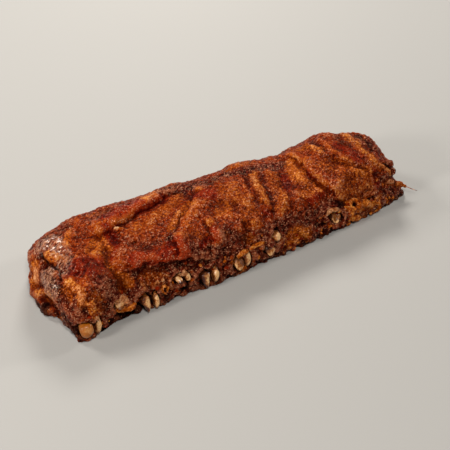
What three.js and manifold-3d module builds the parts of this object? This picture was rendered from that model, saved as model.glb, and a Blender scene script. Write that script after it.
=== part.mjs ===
// Cooked rack of pork loin ribs, lying meat side up on its two long edges.
// Millimetres: +X runs along the rack, +Y from its near edge to its far edge, +Z up.
// The origin is under the middle of the rack, on the surface that it rests on.
import * as THREE from "three";
import Module from "manifold-3d";
import { mergeVertices } from "three/addons/utils/BufferGeometryUtils.js";

const wasm = await Module();
wasm.setup();

// The cross-section at even steps from the left end to the right end
const HALF_LENGTH = 186;
const NEAR_EDGE_Y = [-61, -51.5, -51, -50, -48.5, -46, -43, -39, -31];
const FAR_EDGE_Y = [56, 64, 64, 61.5, 60, 60, 57.5, 60, 54];
const CROWN_HEIGHT = [46, 50.5, 51.5, 51, 52, 50.5, 48.5, 55, 49];
const HOLLOW_HEIGHT = [0, 11, 16, 18, 19, 19, 18, 16, 13];
const FOOT_WIDTH = 9;

// How far each end reaches, from the near edge round to the far edge, and how much its top leans back
const LEFT_REACH = [177, 181.5, 188, 181, 166];
const LEFT_LEAN = [8, 8.5, 7, 11, 10];
const RIGHT_REACH = [184, 187, 187, 174, 167];
const RIGHT_LEAN = [26, 26, 14, 12, 8];
const LEAN_HEIGHT = 48;
const END_ROUNDING = 10;
const EDGE_SHARE = 0.3;

// How finely the meat is divided along, round and through the rack
const ROWS = 54;
const COLUMNS = 24;
const LAYERS = 3;

// The ribs, from left to right: their places at both edges and the sawn heads at the near edge
const RIB_NEAR_X = [-169.5, -134, -110.5, -77, -51, -16, 17.5, 54, 94, 124, 158];
const RIB_FAR_X = [-151, -121, -92, -61, -31, -1, 31, 64, 97, 126, 152];
const HEAD_HEIGHT = [12, 17.5, 9.5, 20.5, 10.5, 12, 13.5, 13, 16.5, 15, 13];
const HEAD_WIDTH = [12.5, 10, 11, 9, 11, 11, 9.5, 9, 10, 9, 9];
const HEAD_DEPTH = [13, 7, 15.5, 6.5, 13.5, 10.5, 9.5, 9, 8.5, 8, 9];
const HEAD_PROUD = [3.5, 0.5, 5, 1.5, 4.5, 3.5, 3, -3, 2, -9, -6];
const SHAFT_WIDTH = 9.5;
const SHAFT_DEPTH = 6.6;
const TIP_WIDTH = 8;
const TIP_PROUD = 1.5;
const TIP_HEIGHT = 13;
const BONE_COVER = 2.2;
const BONE_SIDES = 10;
const BONE_STATIONS = [0, 0.012, 0.11, 0.3, 0.5, 0.7, 0.88, 0.988, 1];
const SAWN_EDGE_SHARE = 0.82;
const GAP = 0.3;
const POCKET_RUN_OUT = 1.2;

// The thin button bones that stand beside some of the rib heads
const BUTTONS = [
  { rib: 1, side: 11.5, height: 9.5, length: 18, width: 6.5, roll: 0.2, proud: 6 },
  { rib: 3, side: 9.5, height: 9, length: 16, width: 5.5, roll: 0.1, proud: 7 },
  { rib: 4, side: 9, height: 18.5, length: 8, width: 5.5, roll: 0, proud: 3.5 },
  { rib: 5, side: 10.5, height: 10.5, length: 16, width: 6.5, roll: 0.25, proud: 6 },
  { rib: 6, side: 9.5, height: 12.5, length: 15.5, width: 6.5, roll: 0.25, proud: 4.5 },
  { rib: 7, side: 8.5, height: 23.5, length: 11, width: 7.5, roll: 0.3, proud: 4 },
];
const BUTTON_DEPTH = 12;
const BUTTON_PITCH = 0.4;

// Moves the middle of the uneven rack over the origin
const SHIFT_X = 2.95;
const SHIFT_Y = -2.3;

const MEAT_COLOUR = 0x7a2c12;
const BONE_COLOUR = 0xc9a06a;

/** A smooth curve through values at even steps, read at a share t of its length. */
function along(values, t) {
  const points = values.map((value, step) => new THREE.Vector2(step, value));
  return new THREE.SplineCurve(points).getPoint(THREE.MathUtils.clamp(t, 0, 1)).y;
}

/** The main sizes of the cross-section at x. */
function sectionAt(x) {
  const t = (x + HALF_LENGTH) / (2 * HALF_LENGTH);
  const near = along(NEAR_EDGE_Y, t);
  const far = along(FAR_EDGE_Y, t);
  return { near, far, width: far - near, crown: along(CROWN_HEIGHT, t), hollow: along(HOLLOW_HEIGHT, t) };
}

/** The skin's outline at x, from the near foot over the top to the far foot. */
function outerCurve({ near, far, width, crown }) {
  return new THREE.SplineCurve([
    [near, 0], [near - 1.5, 9], [near + 1.5, 21], [near + 6, 31], [near + 14, crown - 9],
    [near + 0.3 * width, crown - 3], [near + 0.48 * width, crown], [near + 0.66 * width, crown - 1],
    [far - 20, crown - 6], [far - 8, crown - 15], [far - 1, 0.45 * crown], [far, 8], [far - 2, 0],
  ].map(([y, z]) => new THREE.Vector2(y, z)));
}

/** The outline of the hollow under the ribs at x, from foot to foot. */
function underCurve({ near, far, width, hollow }) {
  return new THREE.SplineCurve([
    [near + FOOT_WIDTH, 0], [near + 16, 0.25 * hollow], [near + 0.3 * width, 0.8 * hollow],
    [near + 0.5 * width, hollow], [far - 0.3 * width, 0.85 * hollow], [far - 18, 0.3 * hollow],
    [far - 2 - FOOT_WIDTH, 0],
  ].map(([y, z]) => new THREE.Vector2(y, z)));
}

/**
 * A place in the meat. The slab is a block bent into an arch: a runs from -1 at the left end to 1 at
 * the right end, b from 0 at the near foot to 1 at the far foot, and c from 0 on top to 1 underneath.
 */
function place(a, b, c) {
  const endShare = END_ROUNDING / HALF_LENGTH;
  const edgeShare = 2 * EDGE_SHARE;
  let lengthwise = Math.abs(a);
  let depthwise = Math.abs(2 * c - 1);
  const overEnd = Math.max(0, (lengthwise - 1 + endShare) / endShare);
  const overEdge = Math.max(0, (depthwise - 1 + edgeShare) / edgeShare);
  if (overEnd > 0 && overEdge > 0) {
    const round = Math.max(overEnd, overEdge) / Math.hypot(overEnd, overEdge);
    lengthwise = 1 - endShare + endShare * overEnd * round;
    depthwise = 1 - edgeShare + edgeShare * overEdge * round;
  }
  const sideways = Math.sign(a) * lengthwise;
  const through = 0.5 + 0.5 * Math.sign(c - 0.5) * depthwise;
  const section = sectionAt(sideways * HALF_LENGTH);
  const yz = outerCurve(section).getPoint(b).lerp(underCurve(section).getPoint(b), through);
  const height = Math.max(0, yz.y);
  const [reach, lean] = a < 0 ? [LEFT_REACH, LEFT_LEAN] : [RIGHT_REACH, RIGHT_LEAN];
  const x = sideways * (along(reach, b) - along(lean, b) * height / LEAN_HEIGHT);
  return new THREE.Vector3(x, yz.x, height);
}

const onTop = (x, b) => place(x / HALF_LENGTH, b, 0);
const onLeftEnd = (b, c) => place(-1, b, c);
const onRightEnd = (b, c) => place(1, b, c);

// Folds, lumps and pits. Each follows a path on the skin and fades over its reach. One with a
// direction raises only the side that the direction points to, as a flap or a step does.
const TOWARDS_FAR = new THREE.Vector3(0, 1, 0);
const TOWARDS_RIGHT = new THREE.Vector3(1, 0, 0);
const FOLDS = [
  { of: "flap over the far half", height: 4.6, reach: 15, towards: TOWARDS_FAR,
    path: [onTop(-121, 0.525), onTop(-92, 0.55), onTop(-76, 0.572), onTop(-52, 0.61)] },
  { of: "gap under the flap", height: -2, reach: 5,
    path: [onTop(-116, 0.52), onTop(-76, 0.55), onTop(-54, 0.59)] },
  { of: "bulge of the wet shoulder", height: 1.6, reach: 9, path: [onTop(-168, 0.6), onTop(-160, 0.56)] },
  { of: "seam down the near slope", height: -2.6, reach: 6,
    path: [onTop(-132, 0.44), onTop(-137, 0.35), onTop(-137, 0.2)] },
  { of: "shoulder left of the seam", height: 2.2, reach: 12, path: [onTop(-152, 0.34), onTop(-150, 0.28)] },
  { of: "fold right of the crease", height: 3.2, reach: 11, towards: TOWARDS_RIGHT,
    path: [onTop(-22, 0.55), onTop(-36, 0.495), onTop(-51, 0.444), onTop(-72, 0.381)] },
  { of: "crease in the middle", height: -2, reach: 5, path: [onTop(-37, 0.495), onTop(-66, 0.4)] },
  { of: "lip of the near shoulder", height: 2.6, reach: 8,
    path: [onTop(-112, 0.35), onTop(-90, 0.335), onTop(-64, 0.31)] },
  { of: "shadow under the lip", height: -3.6, reach: 6.5,
    path: [onTop(-112, 0.27), onTop(-84, 0.25), onTop(-48, 0.18)] },
  { of: "second lobe", height: 2.6, reach: 9, path: [onTop(-64, 0.31), onTop(-52, 0.28)] },
  { of: "round lobe", height: 3.4, reach: 12, path: [onTop(-26, 0.31), onTop(-17, 0.3)] },
  { of: "right edge of the round lobe", height: -2.4, reach: 5, path: [onTop(-2, 0.32), onTop(-8, 0.19)] },
  { of: "third lobe", height: 2.2, reach: 10, path: [onTop(8, 0.29), onTop(20, 0.27)] },
  { of: "fourth lobe", height: 2, reach: 10, path: [onTop(48, 0.27), onTop(58, 0.27)] },
  { of: "bulge in the middle", height: 1.8, reach: 12, path: [onTop(6, 0.5), onTop(12, 0.42)] },
  { of: "ridge over a rib", height: 2, reach: 6, path: [onTop(37, 0.54), onTop(33, 0.449), onTop(33, 0.36)] },
  { of: "groove right of the ridge", height: -1.8, reach: 5, path: [onTop(48, 0.53), onTop(36, 0.34)] },
  { of: "long step on the right", height: 3.8, reach: 14, towards: TOWARDS_RIGHT,
    path: [onTop(91, 0.575), onTop(95, 0.523), onTop(99, 0.396), onTop(104, 0.36)] },
  { of: "hump of the far shoulder", height: 3.5, reach: 15, path: [onTop(49, 0.66)] },
  { of: "hollow along the near foot", height: -4, reach: 11, path: [onTop(-154, 0.02), onTop(-124, 0.02)] },
  { of: "glazed lump", height: 2, reach: 6, path: [onTop(79, 0.335), onTop(93, 0.345)] },
  { of: "fat band before the right end", height: 1.6, reach: 7,
    path: [onTop(164, 0.6), onTop(161, 0.514), onTop(168, 0.36)] },
  { of: "fifth lobe", height: 2.4, reach: 10, path: [onTop(118, 0.27), onTop(136, 0.26)] },
  { of: "edge under the fifth lobe", height: -2.6, reach: 5, path: [onTop(112, 0.215), onTop(146, 0.2)] },
  { of: "rough lobe at the foot", height: 4.4, reach: 8,
    path: [onTop(120, 0.16), onTop(134, 0.14), onTop(150, 0.1)] },
  { of: "pit under the second rib head", height: -5, reach: 6, path: [onTop(-142, 0.08)] },
  { of: "pit under the fourth rib head", height: -4, reach: 6, path: [onTop(-76, 0.08)] },
  { of: "pit left of the fifth rib head", height: -4, reach: 5, path: [onTop(-60, 0.11)] },
  { of: "pit left of the ninth rib head", height: -3.6, reach: 5, path: [onTop(80, 0.15), onTop(84, 0.12)] },
  { of: "pit left of the tenth rib head", height: -4, reach: 5, path: [onTop(123, 0.175)] },
  { of: "pit right of the tenth rib head", height: -4, reach: 5, path: [onTop(143, 0.15)] },
  { of: "oval of fat on the left end", height: 4.6, reach: 12,
    path: [onLeftEnd(0.6, 0.4), onLeftEnd(0.61, 0.54)] },
  { of: "dark lobe of the left end", height: 3.2, reach: 8,
    path: [onLeftEnd(0.49, 0.1), onLeftEnd(0.45, 0.2)] },
  { of: "lip across the left end", height: 3, reach: 5, path: [onLeftEnd(0.5, 0.64), onLeftEnd(0.41, 0.3)] },
  { of: "pit low in the left end", height: -3.2, reach: 5,
    path: [onLeftEnd(0.43, 0.58), onLeftEnd(0.43, 0.68)] },
  { of: "far lobe of the left end", height: 5, reach: 13,
    path: [onLeftEnd(0.47, 0.93), onLeftEnd(0.56, 0.9)] },
  { of: "notch of the left end", height: -8, reach: 8, path: [onLeftEnd(0.32, 0.97), onLeftEnd(0.36, 0.7)] },
  { of: "edge of the left shoulder", height: 1.8, reach: 6, path: [onTop(-176, 0.406), onTop(-174, 0.295)] },
  { of: "shred at the right end", height: 4, reach: 7, path: [onRightEnd(0.3, 0.15)] },
  { of: "lump in the right end", height: 3, reach: 10, path: [onRightEnd(0.55, 0.4)] },
  { of: "dent in the right end", height: -3, reach: 9, path: [onRightEnd(0.42, 0.6)] },
];
const STEP_SOFTNESS = 2.5;

// Waves that make the meat uneven: height, wavelength along and across, and phase
const SWELLS = [[1.1, 96, 78, 0.7], [0.8, 57, 49, 2.1], [0.6, 33, 41, 4.4], [0.5, 21, 27, 1.3]];
const CRAG_HEIGHT = 1.3;
const CRAG_WAVE = 15;
const CRAG_TOP = 30;
const RIB_RIDGE = 1.6;

/** The closest point to a place on a path of straight runs. */
function closestOnPath(path, point) {
  let closest = path[0];
  for (let run = 1; run < path.length; run++) {
    const line = new THREE.Line3(path[run - 1], path[run]);
    const candidate = line.closestPointToPoint(point, true, new THREE.Vector3());
    if (candidate.distanceToSquared(point) < closest.distanceToSquared(point)) {
      closest = candidate;
    }
  }
  return closest;
}

/** How far the folds raise or sink the skin at a point. */
function foldRelief(point) {
  let rise = 0;
  for (const { path, height, reach, towards } of FOLDS) {
    const closest = closestOnPath(path, point);
    const fade = Math.exp(-point.distanceToSquared(closest) / reach ** 2);
    const across = towards ? point.clone().sub(closest).dot(towards) : 0;
    const side = towards ? 1 / (1 + Math.exp(-across / STEP_SOFTNESS)) : 1;
    rise += height * fade * side;
  }
  return rise;
}

/** How far long and short waves raise the skin at a point, with crags low on the near face. */
function unevenness({ x, y, z }) {
  let rise = 0;
  for (const [height, lengthwise, crosswise, phase] of SWELLS) {
    const wave = Math.sin(2 * Math.PI * x / lengthwise + phase);
    rise += height * wave * Math.cos(2 * Math.PI * (y + z) / crosswise + 2 * phase);
  }
  const low = THREE.MathUtils.clamp(1 - z / CRAG_TOP, 0, 1) * (y < 0 ? 1 : 0.6);
  const turn = 2 * Math.PI / CRAG_WAVE;
  return rise + CRAG_HEIGHT * low * Math.sin(turn * x) * Math.cos(turn * (z + 0.4 * x));
}

/** The middle line of rib number i, from its sawn head to its tip at the far edge. */
function ribCurve(i) {
  const nearX = RIB_NEAR_X[i];
  const farX = RIB_FAR_X[i];
  const middle = sectionAt((nearX + farX) / 2);
  const start = sectionAt(nearX);
  const end = sectionAt(farX);
  const lift = BONE_COVER + SHAFT_DEPTH / 2;
  const shares = [0.27, 0.5, 0.72];
  const arch = shares.map((share) => {
    const under = underCurve(middle);
    const y = middle.near + share * middle.width;
    let z = 0;
    for (let t = 0; t <= 1; t += 0.01) {
      const point = under.getPoint(t);
      z = Math.abs(point.x - y) < 2 ? point.y : z;
    }
    return new THREE.Vector3(THREE.MathUtils.lerp(nearX, farX, share), y, z + lift);
  });
  return new THREE.CatmullRomCurve3([
    new THREE.Vector3(nearX, start.near - HEAD_PROUD[i], HEAD_HEIGHT[i]),
    new THREE.Vector3(nearX, start.near + 13, (HEAD_HEIGHT[i] + 15) / 2),
    ...arch,
    new THREE.Vector3(farX, end.far - 13, TIP_HEIGHT + 2),
    new THREE.Vector3(farX, end.far + TIP_PROUD, TIP_HEIGHT),
  ]);
}

/** A rib: an oval tube along its middle line, wide at the head. With a gap, it is the pocket for it. */
function ribGeometry(i, gap) {
  const last = BONE_STATIONS.length - 1;
  const geometry = new THREE.CylinderGeometry(1, 1, 1, BONE_SIDES, last);
  const curve = ribCurve(i);
  const position = geometry.attributes.position;
  const point = new THREE.Vector3();
  for (let v = 0; v < position.count; v++) {
    point.fromBufferAttribute(position, v);
    const station = Math.round((point.y + 0.5) * last);
    const t = BONE_STATIONS[station];
    const headShare = Math.exp(-((t / 0.1) ** 2));
    const tipShare = THREE.MathUtils.smoothstep(t, 0.8, 1);
    const shaftWidth = THREE.MathUtils.lerp(SHAFT_WIDTH, TIP_WIDTH, tipShare);
    const atEnd = station === 0 ? -1 : Number(station === last);
    const sawn = atEnd && gap === 0 ? SAWN_EDGE_SHARE : 1;
    const halfWidth = sawn * THREE.MathUtils.lerp(shaftWidth, HEAD_WIDTH[i], headShare) / 2 + gap;
    const halfDepth = sawn * THREE.MathUtils.lerp(SHAFT_DEPTH, HEAD_DEPTH[i], headShare) / 2 + gap;
    const tangent = curve.getTangent(t);
    const upwards = new THREE.Vector3(1, 0, 0).cross(tangent).normalize();
    const centre = curve.getPoint(t).addScaledVector(tangent, atEnd * POCKET_RUN_OUT * Math.sign(gap));
    centre.x += point.x * halfWidth;
    centre.addScaledVector(upwards, point.z * halfDepth);
    position.setXYZ(v, centre.x, centre.y, centre.z);
  }
  return geometry;
}

/** A button bone: a thin rounded blade that stands partly out of the near face. */
function buttonGeometry({ rib, side, height, length, width, roll, proud }, gap) {
  const x = RIB_NEAR_X[rib - 1] + side;
  const y = sectionAt(x).near - proud + BUTTON_DEPTH / 2;
  const geometry = new THREE.SphereGeometry(1, 8, 6);
  geometry.scale(width / 2 + gap, BUTTON_DEPTH / 2 + gap, length / 2 + gap);
  geometry.rotateX(-BUTTON_PITCH);
  geometry.rotateY(roll);
  geometry.translate(x, y, height);
  return geometry;
}

/** The geometry with only its positions left and its shared corners joined. */
function joined(geometry) {
  const bare = geometry.clone();
  bare.deleteAttribute("normal");
  bare.deleteAttribute("uv");
  return mergeVertices(bare);
}

/** A closed geometry as an exact solid. */
function toSolid(geometry) {
  const closed = joined(geometry);
  const vertProperties = new Float32Array(closed.attributes.position.array);
  const triVerts = new Uint32Array(closed.index.array);
  return new wasm.Manifold(new wasm.Mesh({ numProp: 3, vertProperties, triVerts }));
}

/** An exact solid as a geometry. */
function toGeometry(solid) {
  const { vertProperties, triVerts } = solid.getMesh();
  const geometry = new THREE.BufferGeometry();
  geometry.setAttribute("position", new THREE.BufferAttribute(new Float32Array(vertProperties), 3));
  geometry.setIndex(new THREE.BufferAttribute(new Uint32Array(triVerts), 1));
  geometry.computeVertexNormals();
  return geometry;
}

/** The ridge that each rib raises under the meat. */
function ribRidge(point) {
  let ridge = 0;
  for (let i = 0; i < RIB_NEAR_X.length; i++) {
    const section = sectionAt(point.x);
    const share = THREE.MathUtils.clamp((point.y - section.near) / section.width, 0, 1);
    const ribX = THREE.MathUtils.lerp(RIB_NEAR_X[i], RIB_FAR_X[i], share);
    ridge += Math.exp(-(((point.x - ribX) / (0.7 * SHAFT_WIDTH)) ** 2));
  }
  return RIB_RIDGE * ridge;
}

/** The whole slab of meat before the bones are cut out of it. */
function slabGeometry() {
  const block = new THREE.BoxGeometry(2, 1, 1, ROWS, COLUMNS, LAYERS);
  const position = block.attributes.position;
  const undersides = [];
  for (let v = 0; v < position.count; v++) {
    const a = position.getX(v) + 0.06 * Math.sin(Math.PI * position.getX(v));
    const even = position.getY(v) + 0.5;
    const b = even + 0.15 * Math.sin(2 * Math.PI * even) / (2 * Math.PI);
    const c = 0.5 - position.getZ(v);
    const point = place(a, b, c);
    position.setXYZ(v, point.x, point.y, point.z);
    undersides.push(c === 1 && Math.abs(a) < 1 ? 1 : 0);
  }
  block.setAttribute("underside", new THREE.Float32BufferAttribute(undersides, 1));
  const slab = joined(block);
  slab.computeVertexNormals();
  const { position: skin, normal, underside } = slab.attributes;
  const point = new THREE.Vector3();
  const outward = new THREE.Vector3();
  for (let v = 0; v < skin.count; v++) {
    point.fromBufferAttribute(skin, v);
    outward.fromBufferAttribute(normal, v);
    outward.z *= point.z > 0 ? 1 : 0;
    const smooth = underside.getX(v) === 1;
    const rise = smooth ? 0.4 * unevenness(point) + ribRidge(point) : unevenness(point) + foldRelief(point);
    point.addScaledVector(outward, rise);
    skin.setXYZ(v, point.x, point.y, Math.max(0, point.z));
  }
  slab.deleteAttribute("underside");
  return slab;
}

/** A count as two digits, for the names. */
const twoDigits = (number) => String(number).padStart(2, "0");

/** Puts a solid in the group as a named mesh. */
function addMesh(group, name, solid, material) {
  const mesh = new THREE.Mesh(toGeometry(solid), material);
  mesh.name = name;
  group.add(mesh);
}

const rack = new THREE.Group();
rack.position.set(SHIFT_X, SHIFT_Y, 0);
const meatMaterial = new THREE.MeshStandardMaterial({ color: MEAT_COLOUR, roughness: 0.35, metalness: 0 });
const boneMaterial = new THREE.MeshStandardMaterial({ color: BONE_COLOUR, roughness: 0.5, metalness: 0 });

let meat = toSolid(slabGeometry());
for (let i = 0; i < RIB_NEAR_X.length; i++) {
  meat = meat.subtract(toSolid(ribGeometry(i, GAP)));
  addMesh(rack, `rib_bone_${twoDigits(i + 1)}`, toSolid(ribGeometry(i, 0)), boneMaterial.clone());
}
for (const button of BUTTONS) {
  meat = meat.subtract(toSolid(buttonGeometry(button, GAP)));
  const name = `button_bone_${twoDigits(button.rib)}`;
  addMesh(rack, name, toSolid(buttonGeometry(button, 0)), boneMaterial.clone());
}
addMesh(rack, "meat", meat, meatMaterial);

export default rack;
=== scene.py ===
"""Cooked rack of pork loin ribs, dressed for a render.

The meat is a slab bent into an arch. Its fine skin is worked out from a few named sizes, raised by
folds, crags and grains, and coloured by stains. The rib bones run through it from their sawn heads
at the near edge to their tips at the far edge. Sizes and places are in millimetres, in the rack's
own frame, until a mesh is made. Meshes are in metres.
"""

import logging
import math
from dataclasses import dataclass, field
from enum import Enum
from typing import Optional, Sequence, Union

import bpy
import numpy as np
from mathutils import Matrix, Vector, noise
from mathutils.kdtree import KDTree


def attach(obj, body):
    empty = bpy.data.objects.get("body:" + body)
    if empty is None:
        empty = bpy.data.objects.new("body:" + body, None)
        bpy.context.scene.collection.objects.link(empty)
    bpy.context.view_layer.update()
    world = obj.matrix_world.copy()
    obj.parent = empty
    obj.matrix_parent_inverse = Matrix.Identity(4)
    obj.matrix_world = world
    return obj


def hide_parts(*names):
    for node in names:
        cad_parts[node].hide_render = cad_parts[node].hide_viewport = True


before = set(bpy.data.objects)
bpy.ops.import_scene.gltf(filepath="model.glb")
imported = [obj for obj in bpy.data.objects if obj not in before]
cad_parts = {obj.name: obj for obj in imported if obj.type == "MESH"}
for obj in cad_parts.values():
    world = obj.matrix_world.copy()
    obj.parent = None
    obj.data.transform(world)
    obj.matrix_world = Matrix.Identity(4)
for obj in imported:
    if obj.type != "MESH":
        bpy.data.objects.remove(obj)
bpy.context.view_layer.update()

log = logging.getLogger("rack")

MM = 0.001
ROOT = "root"
GRAINS = "grains_of_rub"
MOTTLE = "mottle"
SEED = 41

# From the rack's own frame to the middle of the solids' box.
SHIFT = np.array([2.95, -2.3, 0.0])

# How far apart two seeds lie in the noise, and how fast a pebble falls off from its middle.
WAVE_STEP = np.array([17.3, -9.1, 5.7])
PEBBLE_STEP = np.array([3.1, 11.9, -7.7])
PEBBLE_FALL = 1.6

Array = np.ndarray
Pair = tuple[float, float]
Triple = tuple[float, float, float]
Colour = tuple[float, float, float]
Tones = tuple[Colour, Colour, Colour]
Mesh = tuple[Array, list]
Marks = dict[str, Array]
Path = tuple[Pair, ...]
Piece = bpy.types.Object
Material = bpy.types.Material
Node = bpy.types.Node
Socket = bpy.types.NodeSocket
Value = Union[Socket, float]
Paint = Union[Socket, Colour]
Inputs = dict[Union[str, int], Union[Socket, float, tuple[float, ...]]]


def waves(points: Array, size: float, seed: int = 0) -> Array:
    """Smooth noise from about -1 to 1.

    Args:
        points: places in millimetres, one row each.
        size: how wide a swell is.
        seed: another seed gives other swells.

    Returns:
        One value a point.
    """
    away = WAVE_STEP * (seed + 1)
    return np.array([noise.noise(place) for place in (points / size + away).tolist()])


def shake(points: Array, size: float, *seeds: int) -> Array:
    """Smooth noise in x, y and z, each from a seed of its own."""
    return np.stack([waves(points, size, seed) for seed in seeds], axis=1)


def blotches(points: Array, size: float, seed: int, gain: float, cut: float) -> Array:
    """Scattered soft patches of 1 on 0, from smooth noise."""
    return np.clip(waves(points, size, seed) * gain - cut, 0.0, 1.0)


def pebbles(points: Array, size: float, seed: int = 0) -> Array:
    """Round grains that touch, 1 in the middle of each and 0 between them.

    Args:
        points: places in millimetres, one row each.
        size: how wide a grain is.
        seed: another seed gives other grains.

    Returns:
        One value a point.
    """
    away = PEBBLE_STEP * (seed + 1)
    nearest = [noise.voronoi(place)[0][0] for place in (points / size + away).tolist()]
    return np.clip(1.0 - PEBBLE_FALL * np.array(nearest) ** 2, 0.0, 1.0)


def ease(value: Array, low: float, high: float) -> Array:
    """A smooth step from 0 at low to 1 at high."""
    share = np.clip((value - low) / (high - low), 0.0, 1.0)
    return share * share * (3.0 - 2.0 * share)


def around(sides: int) -> Array:
    """Even directions round a ring, in radians."""
    return np.linspace(0.0, 2.0 * np.pi, sides, endpoint=False)


def turned(turn: Array, degrees: float) -> Array:
    """How far directions in radians are turned from one in degrees, the short way round."""
    return np.angle(np.exp(1j * (turn - math.radians(degrees))))


def spline(controls: Array, share: Array) -> Array:
    """Reads smooth curves through values at even steps.

    Args:
        controls: the values, steps first. A second axis gives each place its own curve.
        share: where each curve is read, from 0 to 1.

    Returns:
        One value a place.
    """
    last = len(controls) - 1
    along = np.clip(share, 0.0, 1.0) * last
    step = np.floor(along).astype(int)
    part = along - step

    def value(offset: int) -> Array:
        """The control value that lies offset steps from each place's own."""
        index = np.clip(step + offset, 0, last)
        return controls[index] if controls.ndim == 1 else controls[index, np.arange(len(index))]

    before, first, second, after = (value(offset) for offset in (-1, 0, 1, 2))
    leave = (second - before) / 2.0
    arrive = (after - first) / 2.0
    cubic = 2.0 * first - 2.0 * second + leave + arrive
    square = -3.0 * first + 3.0 * second - 2.0 * leave - arrive
    return ((cubic * part + square) * part + leave) * part + first


def thread(points: Array, share: Array) -> tuple[Array, Array]:
    """Reads a smooth line through points in space, spaced by the square root of their distances.

    Args:
        points: the points, one row each.
        share: where it is read, from 0 to 1.

    Returns:
        The places and the unit directions there.
    """
    padded = np.vstack([2.0 * points[0] - points[1], points, 2.0 * points[-1] - points[-2]])
    last = len(points) - 1
    step = np.minimum(np.floor(share * last).astype(int), last - 1)
    part = (share * last - step)[:, None]
    p0, p1, p2, p3 = (padded[step + offset] for offset in range(4))
    runs = ((p0, p1), (p1, p2), (p2, p3))
    d0, d1, d2 = (np.sqrt(np.linalg.norm(end - start, axis=1))[:, None] for start, end in runs)
    leave = ((p1 - p0) / d0 - (p2 - p0) / (d0 + d1) + (p2 - p1) / d1) * d1
    arrive = ((p2 - p1) / d1 - (p3 - p1) / (d1 + d2) + (p3 - p2) / d2) * d1
    square = -3.0 * p1 + 3.0 * p2 - 2.0 * leave - arrive
    cubic = 2.0 * p1 - 2.0 * p2 + leave + arrive
    place = ((cubic * part + square) * part + leave) * part + p1
    tangent = (3.0 * cubic * part + 2.0 * square) * part + leave
    return place, tangent / np.linalg.norm(tangent, axis=1)[:, None]


def reach_of(path: Array, points: Array) -> tuple[Array, Array]:
    """How far points are from a path of straight runs.

    Args:
        path: the path's corners, one row each.
        points: the points, one row each.

    Returns:
        The distances, and the closest places on the path.
    """
    closest = np.repeat(path[:1], len(points), axis=0)
    distance = np.linalg.norm(points - closest, axis=1)
    for start, end in zip(path[:-1], path[1:]):
        run = end - start
        share = np.clip((points - start) @ run / max(run @ run, 1e-9), 0.0, 1.0)
        place = start + share[:, None] * run
        apart = np.linalg.norm(points - place, axis=1)
        nearer = apart < distance
        distance = np.where(nearer, apart, distance)
        closest[nearer] = place[nearer]
    return distance, closest


def make_object(name: str, points: Array, faces: list, marks: Marks) -> Piece:
    """Makes a smooth mesh object in metres.

    Args:
        name: the piece's name.
        points: places in millimetres in the rack's own frame, one row each.
        faces: corner numbers of each face.
        marks: named values, one a point, that the materials read.

    Returns:
        The object, linked to the scene.
    """
    mesh = bpy.data.meshes.new(name)
    mesh.from_pydata(((points + SHIFT) * MM).tolist(), [], faces)
    mesh.shade_smooth()
    for key, values in marks.items():
        attribute = mesh.attributes.new(key, "FLOAT", "POINT")
        attribute.data.foreach_set("value", values.astype(np.float32))
    mesh.update()
    piece = bpy.data.objects.new(name, mesh)
    bpy.context.scene.collection.objects.link(piece)
    return piece


def settle(piece: Piece, material: Material, slot: str, *nodes: str) -> None:
    """Gives a piece its material and body, hides the solids that it stands for, and reports it.

    Args:
        piece: the finished object.
        material: its material.
        slot: not used.
        nodes: the solids that it replaces.
    """
    piece.data.materials.append(material)
    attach(piece, ROOT)
    if nodes:
        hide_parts(*nodes)
    log.info("%s: %d points, %d faces", piece.name, len(piece.data.vertices), len(piece.data.polygons))


class Side(Enum):
    """The sides of the slab that a path can run on."""

    TOP = "top"
    LEFT = "left end"
    RIGHT = "right end"


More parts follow.
